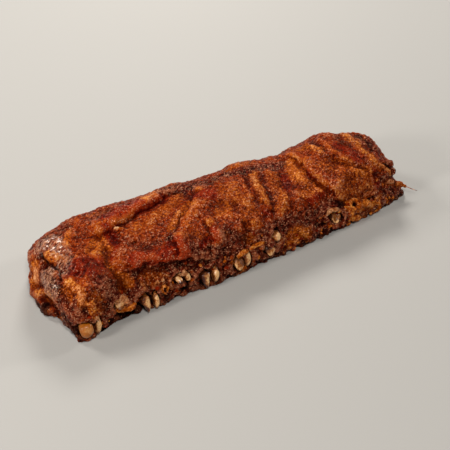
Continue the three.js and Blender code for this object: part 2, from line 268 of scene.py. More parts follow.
@dataclass(frozen=True)
class SlabForm:
    """The slab's form: a block bent into an arch over its two long edges.

    Attributes:
        half_length: half of its length.
        near_edge: y of the near edge at even steps from left to right.
        far_edge: y of the far edge.
        crown: height of the top.
        hollow: height of the hollow below.
        foot_width: width of each edge that it rests on.
        left_reach: how far the left end reaches, from the near edge round to the far edge.
        left_lean: how far its top leans back.
        right_reach: the same for the right end.
        right_lean: the same for the right end.
        lean_height: the height at which the lean is measured.
        end_rounding: how far from an end the rounding starts.
        edge_share: share of the thickness that the rounding takes.
    """

    half_length: float = 186.0
    near_edge: tuple[float, ...] = (-61, -51.5, -51, -50, -48.5, -46, -43, -39, -31)
    far_edge: tuple[float, ...] = (56, 64, 64, 61.5, 60, 60, 57.5, 60, 54)
    crown: tuple[float, ...] = (46, 50.5, 51.5, 51, 52, 50.5, 48.5, 55, 49)
    hollow: tuple[float, ...] = (0, 11, 16, 18, 19, 19, 18, 16, 13)
    foot_width: float = 9.0
    left_reach: tuple[float, ...] = (177, 181.5, 188, 181, 166)
    left_lean: tuple[float, ...] = (8, 8.5, 7, 11, 10)
    right_reach: tuple[float, ...] = (184, 187, 187, 174, 167)
    right_lean: tuple[float, ...] = (26, 26, 14, 12, 8)
    lean_height: float = 48.0
    end_rounding: float = 10.0
    edge_share: float = 0.3

    def section(self, x: Array) -> tuple[Array, ...]:
        """Reads the cross-sections.

        Args:
            x: where along the rack.

        Returns:
            The near edge, far edge, width, crown and hollow at each x.
        """
        share = (x + self.half_length) / (2.0 * self.half_length)
        near, far, crown, hollow = (
            spline(np.array(values, float), share)
            for values in (self.near_edge, self.far_edge, self.crown, self.hollow)
        )
        return near, far, far - near, crown, hollow

    def outer(self, x: Array, share: Array) -> Array:
        """Reads the skin's outline, from the near foot over the top to the far foot.

        Args:
            x: where along the rack.
            share: where on the outline, from 0 to 1.

        Returns:
            Y and z, one row a place.
        """
        near, far, width, crown, _ = self.section(x)
        flat = np.zeros_like(near)
        stations = [
            (near, flat), (near - 1.5, flat + 9), (near + 1.5, flat + 21), (near + 6, flat + 31),
            (near + 14, crown - 9), (near + 0.3 * width, crown - 3), (near + 0.48 * width, crown),
            (near + 0.66 * width, crown - 1), (far - 20, crown - 6), (far - 8, crown - 15),
            (far - 1, 0.45 * crown), (far, flat + 8), (far - 2, flat),
        ]
        return np.stack([spline(np.array(values), share) for values in zip(*stations)], axis=1)

    def under(self, x: Array, share: Array) -> Array:
        """Reads the outline of the hollow, from foot to foot.

        Args:
            x: where along the rack.
            share: where on the outline, from 0 to 1.

        Returns:
            Y and z, one row a place.
        """
        near, far, width, _, hollow = self.section(x)
        flat = np.zeros_like(near)
        stations = [
            (near + self.foot_width, flat), (near + 16, 0.25 * hollow), (near + 0.3 * width, 0.8 * hollow),
            (near + 0.5 * width, hollow), (far - 0.3 * width, 0.85 * hollow), (far - 18, 0.3 * hollow),
            (far - 2 - self.foot_width, flat),
        ]
        return np.stack([spline(np.array(values), share) for values in zip(*stations)], axis=1)

    def place(self, shares: Array) -> Array:
        """Places on the slab.

        Args:
            shares: rows of a, from -1 at the left end to 1 at the right, b, from 0 at the near foot
                to 1 at the far foot, and c, from 0 on top to 1 underneath.

        Returns:
            The places in millimetres, one row each.
        """
        a, b, c = shares.T
        end = self.end_rounding / self.half_length
        edge = 2.0 * self.edge_share
        lengthwise = np.abs(a)
        depthwise = np.abs(2.0 * c - 1.0)
        over_end = np.maximum(0.0, (lengthwise - 1.0 + end) / end)
        over_edge = np.maximum(0.0, (depthwise - 1.0 + edge) / edge)
        corner = (over_end > 0.0) & (over_edge > 0.0)
        spread = np.maximum(over_end, over_edge) / np.maximum(np.hypot(over_end, over_edge), 1e-9)
        lengthwise = np.where(corner, 1.0 - end + end * over_end * spread, lengthwise)
        depthwise = np.where(corner, 1.0 - edge + edge * over_edge * spread, depthwise)
        sideways = np.sign(a) * lengthwise
        through = (0.5 + 0.5 * np.sign(c - 0.5) * depthwise)[:, None]
        x = sideways * self.half_length
        y, z = (self.outer(x, b) * (1.0 - through) + self.under(x, b) * through).T
        z = np.maximum(0.0, z)
        ends = zip((self.left_reach, self.left_lean), (self.right_reach, self.right_lean))
        reach, lean = (
            np.where(a < 0.0, spline(np.array(left, float), b), spline(np.array(right, float), b))
            for left, right in ends
        )
        return np.stack([sideways * (reach - lean * z / self.lean_height), y, z], axis=1)

    def path(self, side: Side, stations: Sequence[Pair]) -> Array:
        """Places of a path that lies on one side of the slab.

        Args:
            side: on top, its stations are x and b, and on an end b and c.
            stations: the path's corners.

        Returns:
            The places in millimetres, one row each.
        """
        first, second = np.array(stations, float).T
        flat = np.zeros_like(first)
        if side is Side.TOP:
            return self.place(np.stack([first / self.half_length, second, flat], axis=1))
        end = -1.0 if side is Side.LEFT else 1.0
        return self.place(np.stack([flat + end, first, second], axis=1))


@dataclass(frozen=True)
class SlabGrid:
    """The skin's mesh on the slab: fine on top and round the edges, and coarse underneath.

    Attributes:
        rows: steps along the top.
        columns: steps across the top.
        layers: steps through the thickness.
        coarse: how many fine steps one step underneath spans.
        inset: share by which the coarse part stands in from the rim.
        crowding: how much closer the columns are on top than at the feet.
    """

    rows: int = 348
    columns: int = 174
    layers: int = 26
    coarse: int = 3
    inset: float = 0.012
    crowding: float = 0.2

    def sheet(self, rows: int, columns: int, first: int) -> tuple[Array, Array, Array]:
        """Makes a grid of points.

        Args:
            rows: its steps along the slab.
            columns: its steps across the slab.
            first: the number of its first point.

        Returns:
            The shares a and b of each point, and the grid of the points' numbers.
        """
        row, column = np.indices((rows + 1, columns + 1)).reshape(2, -1)
        even = column / columns
        b = even + self.crowding * np.sin(2.0 * np.pi * even) / (2.0 * np.pi)
        return 2.0 * row / rows - 1.0, b, first + np.arange(row.size).reshape(rows + 1, columns + 1)

    def build(self) -> Mesh:
        """Makes the mesh: the top, bands down through the thickness, and the underside.

        Returns:
            The shares a, b and c of each point, and the corner numbers of each face.
        """
        a, b, number = self.sheet(self.rows, self.columns, 0)
        parts = [np.stack([a, b, np.zeros_like(a)], axis=1)]
        faces = self.quads(number)

        ring = self.rim(number)
        edge = (a[ring], b[ring])
        for layer in range(1, self.layers + 1):
            parts.append(np.stack([*edge, np.full(len(ring), layer / self.layers)], axis=1))
            below = number.size + (layer - 1) * len(ring) + np.arange(len(ring))
            faces += self.band(ring, below)
            ring = below

        a, b, number = self.sheet(self.rows // self.coarse, self.columns // self.coarse, ring[-1] + 1)
        b = 0.5 + (b - 0.5) * (1.0 - 2.0 * self.inset)
        parts.append(np.stack([a * (1.0 - self.inset), b, np.ones_like(a)], axis=1))
        faces += [face[::-1] for face in self.quads(number)]
        faces += self.seam(ring, self.rim(number))
        return np.vstack(parts), faces

    @staticmethod
    def rim(number: Array) -> Array:
        """The point numbers round the edge of a grid, from its first corner."""
        return np.concatenate([number[:-1, 0], number[-1, :-1], number[:0:-1, -1], number[0, :0:-1]])

    @staticmethod
    def quads(number: Array) -> list:
        """The faces of a grid of point numbers."""
        corners = (number[:-1, :-1], number[1:, :-1], number[1:, 1:], number[:-1, 1:])
        return np.stack([corner.ravel() for corner in corners], axis=1).tolist()

    @staticmethod
    def band(upper: Array, lower: Array) -> list:
        """The faces between two rings of as many points."""
        corners = (upper, lower, np.roll(lower, -1), np.roll(upper, -1))
        return np.stack(corners, axis=1).tolist()

    def seam(self, fine: Array, wide: Array) -> list:
        """Joins a fine ring to one with fewer points.

        Args:
            fine: the point numbers of the fine ring.
            wide: those of the other.

        Returns:
            The corner numbers of each face.
        """
        faces = []
        for step, (start, end) in enumerate(zip(wide, np.roll(wide, -1))):
            one, two, three, four = (fine[(self.coarse * step + k) % len(fine)] for k in range(4))
            faces += [[one, start, two], [two, start, end, three], [three, end, four]]
        return [[int(corner) for corner in face] for face in faces]


def corners_of(faces: list) -> Array:
    """Four corner numbers for each face. A triangle has its last one twice."""
    return np.array([[face[0], face[1], face[2], face[-1]] for face in faces])


def normals_of(points: Array, faces: list) -> Array:
    """Unit normals of a closed mesh.

    Args:
        points: its points, one row each.
        faces: corner numbers of each face.

    Returns:
        One normal a point.
    """
    corners = corners_of(faces)
    first, second, third, fourth = (points[corners[:, k]] for k in range(4))
    area = np.cross(third - first, fourth - second)
    normal = np.zeros_like(points)
    for k in range(4):
        np.add.at(normal, corners[:, k], area)
    return normal / np.maximum(np.linalg.norm(normal, axis=1), 1e-9)[:, None]


def evened(values: Array, faces: list, times: int) -> Array:
    """Evens values of a mesh's points out with their neighbours'.

    Args:
        values: one value a point.
        faces: corner numbers of each face.
        times: how often it is done.

    Returns:
        The new values.
    """
    corners = corners_of(faces)
    start, end = corners.ravel(), np.roll(corners, -1, axis=1).ravel()
    here, there = np.concatenate([start, end]), np.concatenate([end, start])
    count = np.bincount(here, minlength=len(values)) + 1
    for _ in range(times):
        values = (values + np.bincount(here, values[there], len(values))) / count
    return values


class Shape(Enum):
    """How a fold changes the skin across its path."""

    MOUND = "rises over the path and fades on both sides"
    STEP = "raises one side of the path"
    CRACK = "cuts a narrow groove"


@dataclass(frozen=True)
class Fold:
    """A fold, lump or pit of the skin.

    Attributes:
        of: what it is.
        rise: how high it raises the skin, or sinks it below 0.
        reach: how far from the path it fades.
        stations: the path's corners on its side of the slab.
        side: the side of the slab.
        shape: how it changes the skin across its path.
        towards: the direction that a step raises.
        overhang: how far the edge of a step leans over its foot.
    """

    of: str
    rise: float
    reach: float
    stations: Path
    side: Side = Side.TOP
    shape: Shape = Shape.MOUND
    towards: Triple = (0.0, 0.0, 0.0)
    overhang: float = 0.0

    # At how many reaches a fold has faded, how soft the foot of a step is, and where the leaning
    # lip of a step is and how wide, in millimetres.
    FADED = 3.0
    STEP_SOFTNESS = 0.9
    LIP_PLACE = 1.0
    LIP_WIDTH = 2.2

    def raise_skin(self, form: SlabForm, points: Array, outward: Array, shift: Array) -> None:
        """Adds this fold's share to the shift of each point.

        Args:
            form: the slab that it lies on.
            points: the skin's points, slightly stirred so that folds wander.
            outward: the skin's normals.
            shift: the shift of each point, which this adds to.
        """
        path = form.path(self.side, self.stations)
        middle = (path.min(0) + path.max(0)) / 2.0
        room = np.ptp(path, axis=0) / 2.0 + self.FADED * self.reach
        near = np.all(np.abs(points - middle) < room, axis=1)
        if not near.any():
            return
        distance, closest = reach_of(path, points[near])
        share = distance / self.reach
        if self.shape is Shape.CRACK:
            rise = self.rise * np.exp(-share)
        else:
            rise = self.rise * np.exp(-(share**2))
        if self.shape is Shape.STEP:
            across = (points[near] - closest) @ np.array(self.towards)
            rise = rise / (1.0 + np.exp(-across / self.STEP_SOFTNESS))
            lip = np.exp(-(((across - self.LIP_PLACE) / self.LIP_WIDTH) ** 2) - share**2)
            shift[near] -= np.outer(self.overhang * lip, self.towards)
        shift[near] += outward[near] * rise[:, None]


class Finish(Enum):
    """What the skin wears in a place."""

    BARK = "bark"
    GLAZE = "glaze"
    GLOSS = "gloss"
    FAT = "fat"
    PALE = "pale"
    # Burnt spots, and painted shade in hollows, pits, gaps round the bones and along the foot.
    CHAR_AND_SHADE = "char"


@dataclass(frozen=True)
class Stain:
    """A patch of one finish on the skin.

    Attributes:
        of: what it is.
        share: how much of the finish the skin wears there.
        reach: how far from the path it fades.
        stations: the path's corners on its side of the slab.
        side: the side of the slab.
    """

    of: str
    share: float
    reach: float
    stations: Path
    side: Side = Side.TOP

    # Shares of the reach at which a stain has faded, and up to which it is full.
    FADED = 1.35
    FULL = 0.45

    def paint(self, form: SlabForm, points: Array, worn: Array) -> None:
        """Adds this stain to what the skin wears.

        Args:
            form: the slab that it lies on.
            points: the skin's points, slightly stirred.
            worn: how much of its finish each point wears, which this raises.
        """
        distance, _ = reach_of(form.path(self.side, self.stations), points)
        cover = self.share * ease(distance / self.reach, self.FADED, self.FULL)
        np.maximum(worn, cover, out=worn)


TO_FAR = (0.0, 1.0, 0.0)
TO_RIGHT = (1.0, 0.0, 0.0)

FOLDS_ON_THE_LEFT = (
    Fold("crease behind the left end", -4.4, 2.2,
         ((-185, 0.572), (-183, 0.528), (-179, 0.486), (-176, 0.454), (-179, 0.43)), shape=Shape.CRACK),
    Fold("bulge before the crease", 2.2, 6, ((-177, 0.535), (-172, 0.505))),
    Fold("bulge of the wet shoulder", 1.6, 9, ((-168, 0.6), (-160, 0.56))),
    Fold("crease across the left", -2.0, 2.2,
         ((-150, 0.548), (-139, 0.528), (-130, 0.51)), shape=Shape.CRACK),
    Fold("left side of the triangle", -1.4, 3, ((-133, 0.495), (-147, 0.45))),
    Fold("split beside the triangle", -1.8, 2, ((-131, 0.49), (-131, 0.44)), shape=Shape.CRACK),
    Fold("dip right of the triangle", -2.2, 6, ((-119, 0.52), (-121, 0.455))),
    Fold("seam down the near slope", -3.0, 5, ((-132, 0.44), (-137, 0.35), (-135, 0.3), (-137, 0.2))),
    Fold("split in the seam", -2.2, 1.8, ((-133, 0.42), (-137, 0.34), (-136, 0.24)), shape=Shape.CRACK),
    Fold("shoulder left of the seam", 2.2, 12, ((-152, 0.34), (-150, 0.28))),
    Fold("edge of the left shoulder", 1.8, 5, ((-176, 0.406), (-172, 0.345), (-174, 0.295))),
    Fold("shiny flap over the first rib", 2.4, 4, ((-184, 0.31), (-181, 0.24))),
    Fold("crease under the flap", -2.6, 2.4, ((-176, 0.26), (-178, 0.2)), shape=Shape.CRACK),
    Fold("flap over the far half", 4.6, 15,
         ((-121, 0.525), (-111, 0.53), (-92, 0.55), (-76, 0.572), (-52, 0.61)),
         shape=Shape.STEP, towards=TO_FAR, overhang=2.4),
    Fold("gap under the flap", -3.6, 2.6,
         ((-116, 0.522), (-98, 0.535), (-76, 0.56), (-54, 0.598)), shape=Shape.CRACK),
    Fold("hollow before the flap", -1.8, 6, ((-100, 0.51), (-76, 0.535), (-58, 0.57))),
    Fold("nub on the flap", 2.6, 2.4, ((-111, 0.505), (-109, 0.5))),
    Fold("hollow along the near foot", -4.0, 11, ((-154, 0.02), (-124, 0.02))),
)

FOLDS_IN_THE_MIDDLE = (
    Fold("ridge left of the crease", 1.8, 6, ((-35, 0.515), (-53, 0.463), (-68, 0.415))),
    Fold("fold right of the crease", 3.2, 11, ((-22, 0.55), (-36, 0.495), (-51, 0.444), (-72, 0.381)),
         shape=Shape.STEP, towards=TO_RIGHT, overhang=1.4),
    Fold("crease in the middle", -3.0, 2.4,
         ((-25, 0.54), (-37, 0.495), (-52, 0.444), (-72, 0.384)), shape=Shape.CRACK),
    Fold("lip of the near shoulder", 1.6, 8, ((-112, 0.36), (-90, 0.345), (-68, 0.33))),
    Fold("edge of the lip", 3.4, 6,
         ((-116, 0.33), (-102, 0.333), (-90, 0.31), (-72, 0.29), (-58, 0.245), (-43, 0.213)),
         shape=Shape.STEP, towards=(0.0, 0.8, 0.6), overhang=2.2),
    Fold("shadow under the lip", -3.6, 6, ((-112, 0.285), (-90, 0.262), (-68, 0.225), (-48, 0.18))),
    Fold("second lobe", 2.6, 9, ((-64, 0.31), (-52, 0.28))),
    Fold("left edge of the second lobe", 2.6, 6, ((-68, 0.375), (-71, 0.34), (-76, 0.3)),
         shape=Shape.STEP, towards=TO_RIGHT, overhang=1.4),
    Fold("split at the second lobe", -2.6, 2, ((-70, 0.37), (-77, 0.305)), shape=Shape.CRACK),
    Fold("round lobe", 3.4, 12, ((-26, 0.31), (-17, 0.3))),
    Fold("top of the round lobe", 1.0, 3, ((-34, 0.385), (-17, 0.395), (-7, 0.372))),
    Fold("left edge of the round lobe", 2.8, 7, ((-34, 0.38), (-36, 0.34), (-42, 0.265)),
         shape=Shape.STEP, towards=TO_RIGHT, overhang=1.4),
    Fold("split at the round lobe", -2.8, 2, ((-36, 0.365), (-38, 0.32), (-44, 0.25)), shape=Shape.CRACK),
    Fold("right edge of the round lobe", -3.2, 3.5, ((-2, 0.33), (-4, 0.26), (-8, 0.19)), shape=Shape.CRACK),
    Fold("third lobe", 2.2, 10, ((8, 0.29), (20, 0.27))),
    Fold("right edge of the third lobe", -2.2, 4, ((33, 0.33), (30, 0.24))),
    Fold("fourth lobe", 2.0, 10, ((48, 0.27), (58, 0.27))),
    Fold("dip above the round lobe", -1.6, 7, ((-16, 0.45), (-2, 0.43))),
    Fold("wet bulge", 1.8, 7, ((-30, 0.47), (-20, 0.5))),
    Fold("bulge in the middle", 1.8, 12, ((6, 0.5), (12, 0.42))),
    Fold("thin ridge", 1.2, 2.2, ((28, 0.57), (22, 0.48), (23, 0.42))),
    Fold("groove left of the ridge", -1.6, 3.5, ((31, 0.54), (26, 0.46), (26, 0.38))),
    Fold("ridge over a rib", 2.0, 5.2, ((37, 0.54), (33, 0.449), (32, 0.391), (33, 0.36))),
    Fold("groove right of the ridge", -2.0, 4.5, ((48, 0.53), (42, 0.43), (36, 0.34))),
    Fold("yellow ridge", 0.9, 7, ((58, 0.51), (52, 0.416), (51, 0.36))),
    Fold("groove right of the yellow ridge", -1.8, 5, ((68, 0.48), (61, 0.39), (58, 0.33))),
    Fold("hump of the far shoulder", 3.5, 15, ((49, 0.66),)),
)

FOLDS_ON_THE_RIGHT = (
    Fold("bulge left of the long step", 1.8, 8, ((86, 0.55), (81, 0.45))),
    Fold("long step", 3.8, 14, ((91, 0.575), (95, 0.523), (96, 0.45), (99, 0.396), (104, 0.36)),
         shape=Shape.STEP, towards=(0.9, 0.44, 0.0), overhang=1.8),
    Fold("foot of the long step", -1.0, 3.5, ((90, 0.53), (93, 0.44), (98, 0.38), (104, 0.31))),
    Fold("glazed lump", 2.2, 6, ((79, 0.335), (93, 0.345))),
    Fold("edge of the glazed lump", -2.0, 2, ((72, 0.34), (76, 0.3)), shape=Shape.CRACK),
    Fold("bright strip", 1.8, 4.5, ((119, 0.61), (120, 0.53))),
    Fold("groove beside the bright strip", -1.8, 3, ((126, 0.6), (125, 0.51))),
    Fold("long ridge", 2.0, 4, ((132, 0.585), (129, 0.495), (138, 0.416))),
    Fold("groove before the fat band", -1.3, 4, ((154, 0.6), (152, 0.5), (154, 0.42), (160, 0.35))),
    Fold("fat band", 1.6, 6, ((164, 0.6), (161, 0.514), (163, 0.435), (168, 0.36), (176, 0.3))),
    Fold("dip beyond the fat band", -2.0, 4, ((174, 0.54), (177, 0.46))),
    Fold("yellow lump", 1.8, 4, ((143, 0.35), (153, 0.305))),
    Fold("groove over the yellow lump", -1.4, 2.5, ((136, 0.39), (152, 0.34)), shape=Shape.CRACK),
    Fold("line by the right end", 1.8, 2.4, ((160, 0.335), (155, 0.225))),
    Fold("orange lump", 1.0, 4, ((113, 0.32), (122, 0.325))),
    Fold("fifth lobe", 2.4, 10, ((118, 0.27), (136, 0.26))),
    Fold("edge under the fifth lobe", -3.0, 3.5, ((112, 0.215), (126, 0.22), (146, 0.2))),
    Fold("rough lobe at the foot", 4.4, 8, ((120, 0.16), (134, 0.14), (150, 0.1))),
    Fold("ring round the ninth rib", 2.0, 2.6, ((104, 0.2), (108, 0.13), (104, 0.07))),
    Fold("pit left of the ninth rib", -3.6, 4, ((80, 0.15), (84, 0.12))),
    Fold("pit left of the tenth rib", -5.0, 2.6, ((123, 0.175),)),
    Fold("pit right of the tenth rib", -4.5, 2.4, ((141, 0.15), (150, 0.145))),
)

FOLDS_AT_THE_FEET_AND_ENDS = (
    Fold("pit under the second rib head", -5.0, 5, ((-142, 0.08),)),
    Fold("pit under the fourth rib head", -4.0, 5, ((-76, 0.08),)),
    Fold("pit left of the fifth rib head", -4.0, 4, ((-60, 0.11),)),
    Fold("oval of fat on the left end", 4.6, 12, ((0.6, 0.4), (0.61, 0.54)), Side.LEFT),
    Fold("dark lobe of the left end", 3.2, 8, ((0.49, 0.1), (0.45, 0.2)), Side.LEFT),
    Fold("crease under the oval", -3.0, 2, ((0.56, 0.62), (0.5, 0.5), (0.468, 0.36)), Side.LEFT, Shape.CRACK),
    Fold("lip across the left end", 3.0, 4.5, ((0.5, 0.64), (0.455, 0.44), (0.41, 0.3)), Side.LEFT),
    Fold("pit low in the left end", -3.2, 4.5, ((0.43, 0.58), (0.43, 0.68)), Side.LEFT),
    Fold("far lobe of the left end", 5.0, 13, ((0.47, 0.93), (0.56, 0.9)), Side.LEFT),
    Fold("notch of the left end", -8.0, 8, ((0.32, 0.97), (0.36, 0.7)), Side.LEFT),
    Fold("shred at the right end", 4.0, 7, ((0.3, 0.15),), Side.RIGHT),
    Fold("lump in the right end", 3.0, 10, ((0.55, 0.4),), Side.RIGHT),
    Fold("dent in the right end", -3.0, 9, ((0.42, 0.6),), Side.RIGHT),
)


WRINKLES = 11


def wrinkles() -> tuple[Fold, ...]:
    """Makes the fine diagonal wrinkles on the wet left shoulder.

    Returns:
        One fold a wrinkle.
    """
    folds = []
    for step in range(WRINKLES):
        x, b = -178.0 + 1.6 * step, 0.6 - 0.021 * step
        start, end = (x, b - 0.012), (x + 11.0 + 3.0 * math.sin(2.0 * step), b + 0.02)
        folds.append(Fold("wrinkle", 1.5 - 0.04 * step, 1.7, (start, end)))
    return tuple(folds)


FOLDS = (
    *FOLDS_ON_THE_LEFT, *FOLDS_IN_THE_MIDDLE, *FOLDS_ON_THE_RIGHT, *FOLDS_AT_THE_FEET_AND_ENDS, *wrinkles()
)

BARK_STAINS = (
    Stain("brown on the flap", 0.52, 9, ((-116, 0.6), (-98, 0.61), (-80, 0.62))),
    Stain("brown under the deep red", 0.5, 9, ((-154, 0.39), (-146, 0.36))),
    Stain("dark bark on the left slope", 0.9, 10, ((-152, 0.32), (-146, 0.27), (-152, 0.24))),
    Stain("brown crust over the lip", 0.38, 12, ((-118, 0.43), (-106, 0.4), (-96, 0.38))),
    Stain("bark on the far left shoulder", 0.5, 9, ((-184, 0.56), (-172, 0.63), (-152, 0.65))),
    # Painted shade in the crease.
    Stain("dark spot in the crease", 0.8, 4, ((-70, 0.385), (-76, 0.38))),
    Stain("dark edge of the lip", 0.75, 4, ((-116, 0.335), (-92, 0.315), (-72, 0.29), (-60, 0.26))),
    Stain("bark on the second lobe", 0.75, 8, ((-58, 0.3), (-50, 0.27))),
    Stain("bark on the round lobe", 0.75, 10, ((-25, 0.31), (-19, 0.27), (-20, 0.23))),
    # Painted shade in the groove beside the ridge.
    Stain("dark groove", 0.2, 3, ((48, 0.52), (42, 0.43), (37, 0.35))),
    Stain("dark strip along the far left", 0.85, 9, ((-50, 0.64), (-27, 0.615), (-8, 0.592), (2, 0.6))),
    Stain("dark strip along the far right", 0.9, 7, ((20, 0.61), (37, 0.585), (58, 0.56), (76, 0.56))),
    Stain("brown round the band", 0.42, 14, ((154, 0.56), (170, 0.5), (176, 0.42))),
    Stain("dark bark beyond the band", 0.9, 5.5, ((174, 0.54), (177, 0.46), (181, 0.4))),
    Stain("bark on the left end", 1.0, 8, ((0.5, 0.1), (0.46, 0.2), (0.4, 0.1)), Side.LEFT),
    Stain("dark foot of the left end", 0.9, 8, ((0.34, 0.4), (0.25, 0.5), (0.15, 0.6)), Side.LEFT),
)

GLAZE_STAINS = (
    Stain("dark red on the flap", 0.8, 9, ((-112, 0.575), (-96, 0.585), (-80, 0.6))),
    Stain("red below the triangle", 0.8, 6, ((-126, 0.44), (-134, 0.4))),
    Stain("wet red right of the triangle", 1.0, 6, ((-119, 0.52), (-121, 0.455))),
    Stain("deep red on the left", 1.0, 10, ((-164, 0.43), (-156, 0.41), (-148, 0.39))),
    Stain("red beside the triangle", 0.5, 7, ((-127, 0.43),)),
    Stain("red gap under the flap", 1.0, 5, ((-84, 0.553), (-70, 0.57), (-54, 0.595))),
    Stain("wet red in the middle", 0.9, 7, ((-24, 0.53), (-13, 0.515))),
    Stain("red under the crease", 0.9, 6, ((-77, 0.35), (-84, 0.33))),
    Stain("dark red lip", 0.8, 7, ((-116, 0.35), (-92, 0.335), (-70, 0.31))),
    Stain("red on the second lobe", 0.8, 4, ((-68, 0.36), (-72, 0.32))),
    Stain("red left of the round lobe", 0.9, 4, ((-42, 0.33), (-50, 0.32))),
    Stain("red on the round lobe", 0.8, 3, ((-32, 0.36), (-36, 0.31))),
    Stain("red by the third lobe", 0.8, 5, ((13, 0.34), (28, 0.33))),
    Stain("red groove", 0.8, 4, ((68, 0.48), (61, 0.4))),
    Stain("red foot of the long step", 0.9, 3.5, ((93, 0.48), (95, 0.43), (99, 0.385))),
    Stain("glazed lump", 1.0, 6, ((80, 0.325), (94, 0.34))),
    Stain("wet red by the fat band", 0.7, 7, ((142, 0.5), (148, 0.44), (152, 0.39))),
    Stain("dark red edge beyond the band", 0.5, 4, ((177, 0.39), (178, 0.36))),
    Stain("wet red by the right end", 0.8, 6, ((162, 0.3), (160, 0.22))),
    Stain("wet red left of the tenth rib", 1.0, 5, ((124, 0.17), (129, 0.15))),
)

# Wet places: a real clear coat, and painted highlight streaks mixed into the colour.
GLOSS_STAINS = (
    Stain("wet shine on the left shoulder", 1.0, 9, ((-178, 0.6), (-171, 0.61), (-170, 0.565))),
    Stain("wet shine on the left slope", 1.0, 8, ((-168, 0.54), (-167, 0.48), (-172, 0.46))),
    Stain("shine on the orange lump", 0.3, 3, ((114, 0.318), (122, 0.325))),
    Stain("wet shine on the left end", 1.0, 8, ((0.47, 0.1), (0.43, 0.22)), Side.LEFT),
)

FAT_STAINS = (
    Stain("amber crease on the shoulder", 0.8, 4, ((-151, 0.595), (-160, 0.545))),
    Stain("fat before the crease", 0.7, 6, ((-180, 0.54), (-176, 0.51), (-168, 0.49))),
    Stain("fat on the far left", 0.5, 6, ((-128, 0.645), (-112, 0.625))),
    Stain("triangle of fat on the left", 0.65, 7, ((-143, 0.46), (-133, 0.49), (-131, 0.44), (-138, 0.45))),
    Stain("fat right of the triangle", 0.55, 3, ((-129, 0.5), (-131, 0.45))),
    Stain("fat in the seam", 0.65, 3.2, ((-132, 0.44), (-137, 0.36), (-135, 0.3), (-136, 0.22))),
    Stain("amber leaf beside the seam", 0.85, 6, ((-132, 0.3), (-129, 0.26))),
    Stain("tan meat under the lip", 0.4, 9, ((-112, 0.24), (-98, 0.22))),
    Stain("fat along the left edge", 0.8, 5.5, ((-176, 0.39), (-174, 0.36), (-173, 0.33), (-175, 0.295))),
    Stain("tan edge of the left end", 0.55, 5, ((-184, 0.39), (-183, 0.35))),
    Stain("amber over the first rib", 0.45, 8, ((-164, 0.27), (-162, 0.2))),
    Stain("pale fat at the flap's end", 0.9, 5, ((-70, 0.615), (-60, 0.645))),
    Stain("orange below the flap", 0.4, 10, ((-96, 0.47), (-80, 0.48))),
    Stain("pale crust before the flap's end", 0.5, 8, ((-70, 0.5), (-58, 0.52), (-48, 0.55))),
    Stain("orange on the crust", 0.2, 8, ((-98, 0.4), (-88, 0.42))),
    Stain("ridge of fat left of the crease", 0.65, 6, ((-36, 0.505), (-53, 0.463), (-66, 0.425))),
    Stain("fat on the round lobe", 0.45, 4, ((-33, 0.385), (-24, 0.395), (-16, 0.405))),
    Stain("yellow above the round lobe", 0.7, 6, ((-16, 0.42), (-6, 0.42), (-8, 0.45))),
    Stain("orange in the middle", 0.45, 13, ((4, 0.5), (10, 0.42), (10, 0.35))),
    Stain("ridge of pale fat", 0.55, 5.5, ((38, 0.54), (33, 0.449), (32, 0.38))),
    Stain("yellow ridge", 0.45, 8, ((57, 0.5), (52, 0.416), (45, 0.34))),
    Stain("tan top of the third lobe", 0.4, 8, ((2, 0.34), (14, 0.33))),
    Stain("tan foot between the lobes", 0.5, 7, ((-1, 0.25),)),
    Stain("tan crust by the dark strip", 0.6, 7, ((-38, 0.575),)),
    Stain("orange above the second lobe", 0.4, 6, ((-58, 0.37), (-50, 0.36))),
    Stain("orange hump on the far shoulder", 0.6, 6, ((28, 0.66), (49, 0.64))),
    Stain("yellow patch by the long step", 0.8, 10, ((87, 0.53), (86, 0.49), (80, 0.45))),
    Stain("orange by the long step", 0.55, 8, ((86, 0.4), (97, 0.37), (76, 0.37))),
    Stain("fat on the long step", 0.4, 3, ((98, 0.43), (102, 0.385))),
    Stain("bright strip", 0.6, 7, ((108, 0.6), (116, 0.58), (120, 0.52))),
    Stain("dull amber on the right", 0.5, 11, ((116, 0.44), (130, 0.4))),
    Stain("band of fat before the right end", 0.6, 5.5,
          ((163, 0.6), (160, 0.52), (163, 0.435), (168, 0.36), (175, 0.31))),
    Stain("yellow lump", 0.8, 4.5, ((142, 0.35), (153, 0.305))),
    Stain("amber round the yellow lump", 0.5, 11, ((128, 0.33), (142, 0.33), (156, 0.31))),
    Stain("tan slope on the right", 0.5, 11, ((118, 0.27), (132, 0.22), (148, 0.23))),
    Stain("amber over the yellow lump", 0.6, 5, ((138, 0.37), (144, 0.38))),
    Stain("orange lump", 0.3, 3.5, ((112, 0.32), (124, 0.33))),
    Stain("pale streaks by the right end", 0.5, 5, ((174, 0.19), (184, 0.17))),
    Stain("orange lobe at the foot", 0.8, 7, ((121, 0.17), (133, 0.13), (150, 0.1), (160, 0.07))),
    Stain("orange foot on the right", 0.7, 6, ((118, 0.06), (128, 0.05))),
    Stain("amber foot by the eighth rib", 0.75, 8, ((43, 0.13), (52, 0.15), (60, 0.11))),
    Stain("oval of fat on the left end", 1.0, 7.5, ((0.568, 0.3), (0.556, 0.42), (0.556, 0.52)), Side.LEFT),
    Stain("amber hollow of the left end", 0.6, 6, ((0.42, 0.43), (0.43, 0.6)), Side.LEFT),
    Stain("orange lip of the left end", 0.5, 4, ((0.5, 0.64), (0.455, 0.44), (0.41, 0.3)), Side.LEFT),
)

PALE_STAINS = (
    Stain("pale vein in the leaf", 0.25, 4, ((-132, 0.3), (-129, 0.26))),
    Stain("bright fat along the left edge", 0.35, 3.5, ((-172, 0.36), (-174, 0.31), (-178, 0.27))),
    Stain("pale nub", 0.9, 2.4, ((-111, 0.505),)),
    Stain("pale top of the ridge", 0.3, 3.5, ((36, 0.52), (32, 0.47))),
    Stain("bright middle of the oval", 0.9, 5, ((0.562, 0.34), (0.554, 0.45)), Side.LEFT),
)
